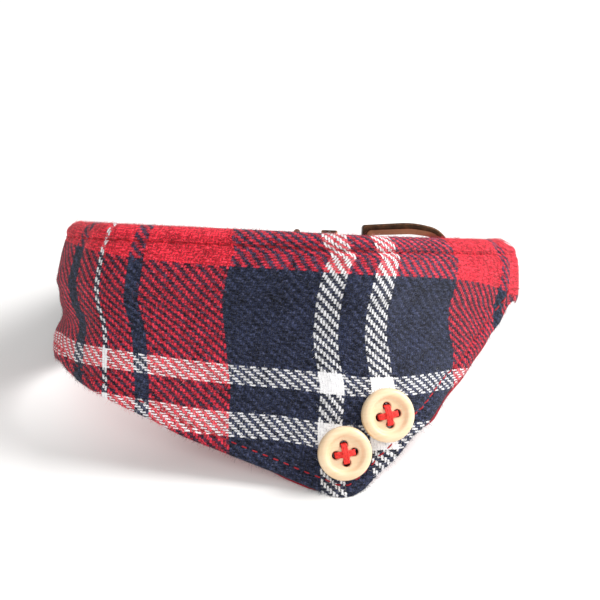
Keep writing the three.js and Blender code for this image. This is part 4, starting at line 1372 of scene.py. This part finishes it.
wood = wood_shader("beech")
floor = BUTTON_THICKNESS - DISH_DEPTH
BUTTON_PROFILE = [  # radius, height, rounding
    (0.3, 0, 0),
    (BUTTON_RADIUS, 0, 1.2),
    (BUTTON_RADIUS, BUTTON_THICKNESS, 1.5),
    (5.4, BUTTON_THICKNESS, 0.9),
    (4.5, floor, 0.6),
    (0.3, floor, 0),
]
HOLE_PROFILE = [
    (HOLE_RADIUS, -1, 0),
    (HOLE_RADIUS, floor - 0.3, 0.3),
    (HOLE_RADIUS + 0.35, floor + 0.05, 0.1),
    (HOLE_RADIUS + 0.35, floor + 2, 0),
]
STRANDS, STRAND_RADIUS, STRAND_GAP = 4, 0.3, 0.42
STRAND_END, STRAND_TOP = 0.5, floor + 0.45
HOLE_REACH = HOLE_RING + 0.05

button_thread = thread_shader("button_thread", linear("f43c36"))

for name, u, v, *pose in BUTTONS:
    axes, origin = button_frame(u, v, *pose)
    button = turned_piece(f"{name}_wood", BUTTON_PROFILE, 0.35, 112, wood)
    drills = []
    for quarter in range(4):
        drill = turned_piece("drill", HOLE_PROFILE, 1.0, 36, wood)
        angle = quarter * math.pi / 2
        centre = Vector((HOLE_RING * math.cos(angle), HOLE_RING * math.sin(angle), 0))
        drill.data.transform(Matrix.Translation(centre))
        drills.append(drill)
    carve(button, drills)
    own = np.empty(len(button.data.vertices) * 3, np.float32)
    button.data.vertices.foreach_get("co", own)
    own = own.reshape(-1, 3)
    corner = np.empty(len(button.data.loops), np.int32)
    button.data.loops.foreach_get("vertex_index", corner)
    uv_layer = button.data.uv_layers.new(name=MAP)
    uv_layer.data.foreach_set("uv", (own[corner, :2] + (u, v)).astype(np.float32).ravel())
    # Painted shade inside each hole: darker the deeper it lies below the dish's floor.
    to_hole = np.abs(np.hypot(own[:, 0], own[:, 1]) - HOLE_RING)
    hole_shade = (to_hole < HOLE_RADIUS + 0.05) * np.clip((floor - 0.15 - own[:, 2]) / 0.5, 0, 1)
    hole_shade_layer = button.data.attributes.new(HOLE_SHADE_ATTRIBUTE, "FLOAT", "POINT")
    hole_shade_layer.data.foreach_set("value", hole_shade.astype(np.float32))
    button.data.vertices.foreach_set("co", (origin + own @ axes * MM).astype(np.float32).ravel())
    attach(button, "collar")
    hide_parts(name)

    # Two staples of strands cross over the dish, the second on top of the first.
    share = np.linspace(-1, 1, 41)
    strand = (np.arange(STRANDS) - (STRANDS - 1) / 2)[:, None]
    line = RoundedPath(
        [
            (-HOLE_REACH, STRAND_END, 0),
            (-HOLE_REACH, STRAND_TOP, 0.7),
            (HOLE_REACH, STRAND_TOP, 0.7),
            (HOLE_REACH, STRAND_END, 0),
        ],
        closed=False,
    )
    at = (share + 1) / 2 * line.length
    span, height = line(at)[0].T
    spread = strand * STRAND_GAP * (0.85 + 0.15 * bump_at(share, 0, 0.45))
    for staple, over in enumerate((0.12, 0.72)):
        lift = over * bump_at(share, 0, 0.22) + 0.05 * np.cos(strand * 2.6 + staple)
        flat_x, flat_y = np.broadcast_arrays(span, spread)
        local = np.stack([flat_x, flat_y, height + lift], -1)
        if staple:
            local = local[..., [1, 0, 2]]
        centres = origin + local @ axes * MM
        radii = np.full(centres.shape[:2], STRAND_RADIUS * MM)
        uv = np.stack(np.broadcast_arrays(at / 1.6 + strand * 0.37, 0.0), -1)
        piece = tubes(f"{name}_thread_{staple}", centres, axes[2], radii, 12, button_thread, uv)
        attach(piece, "collar")
        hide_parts(f"{name}_thread")
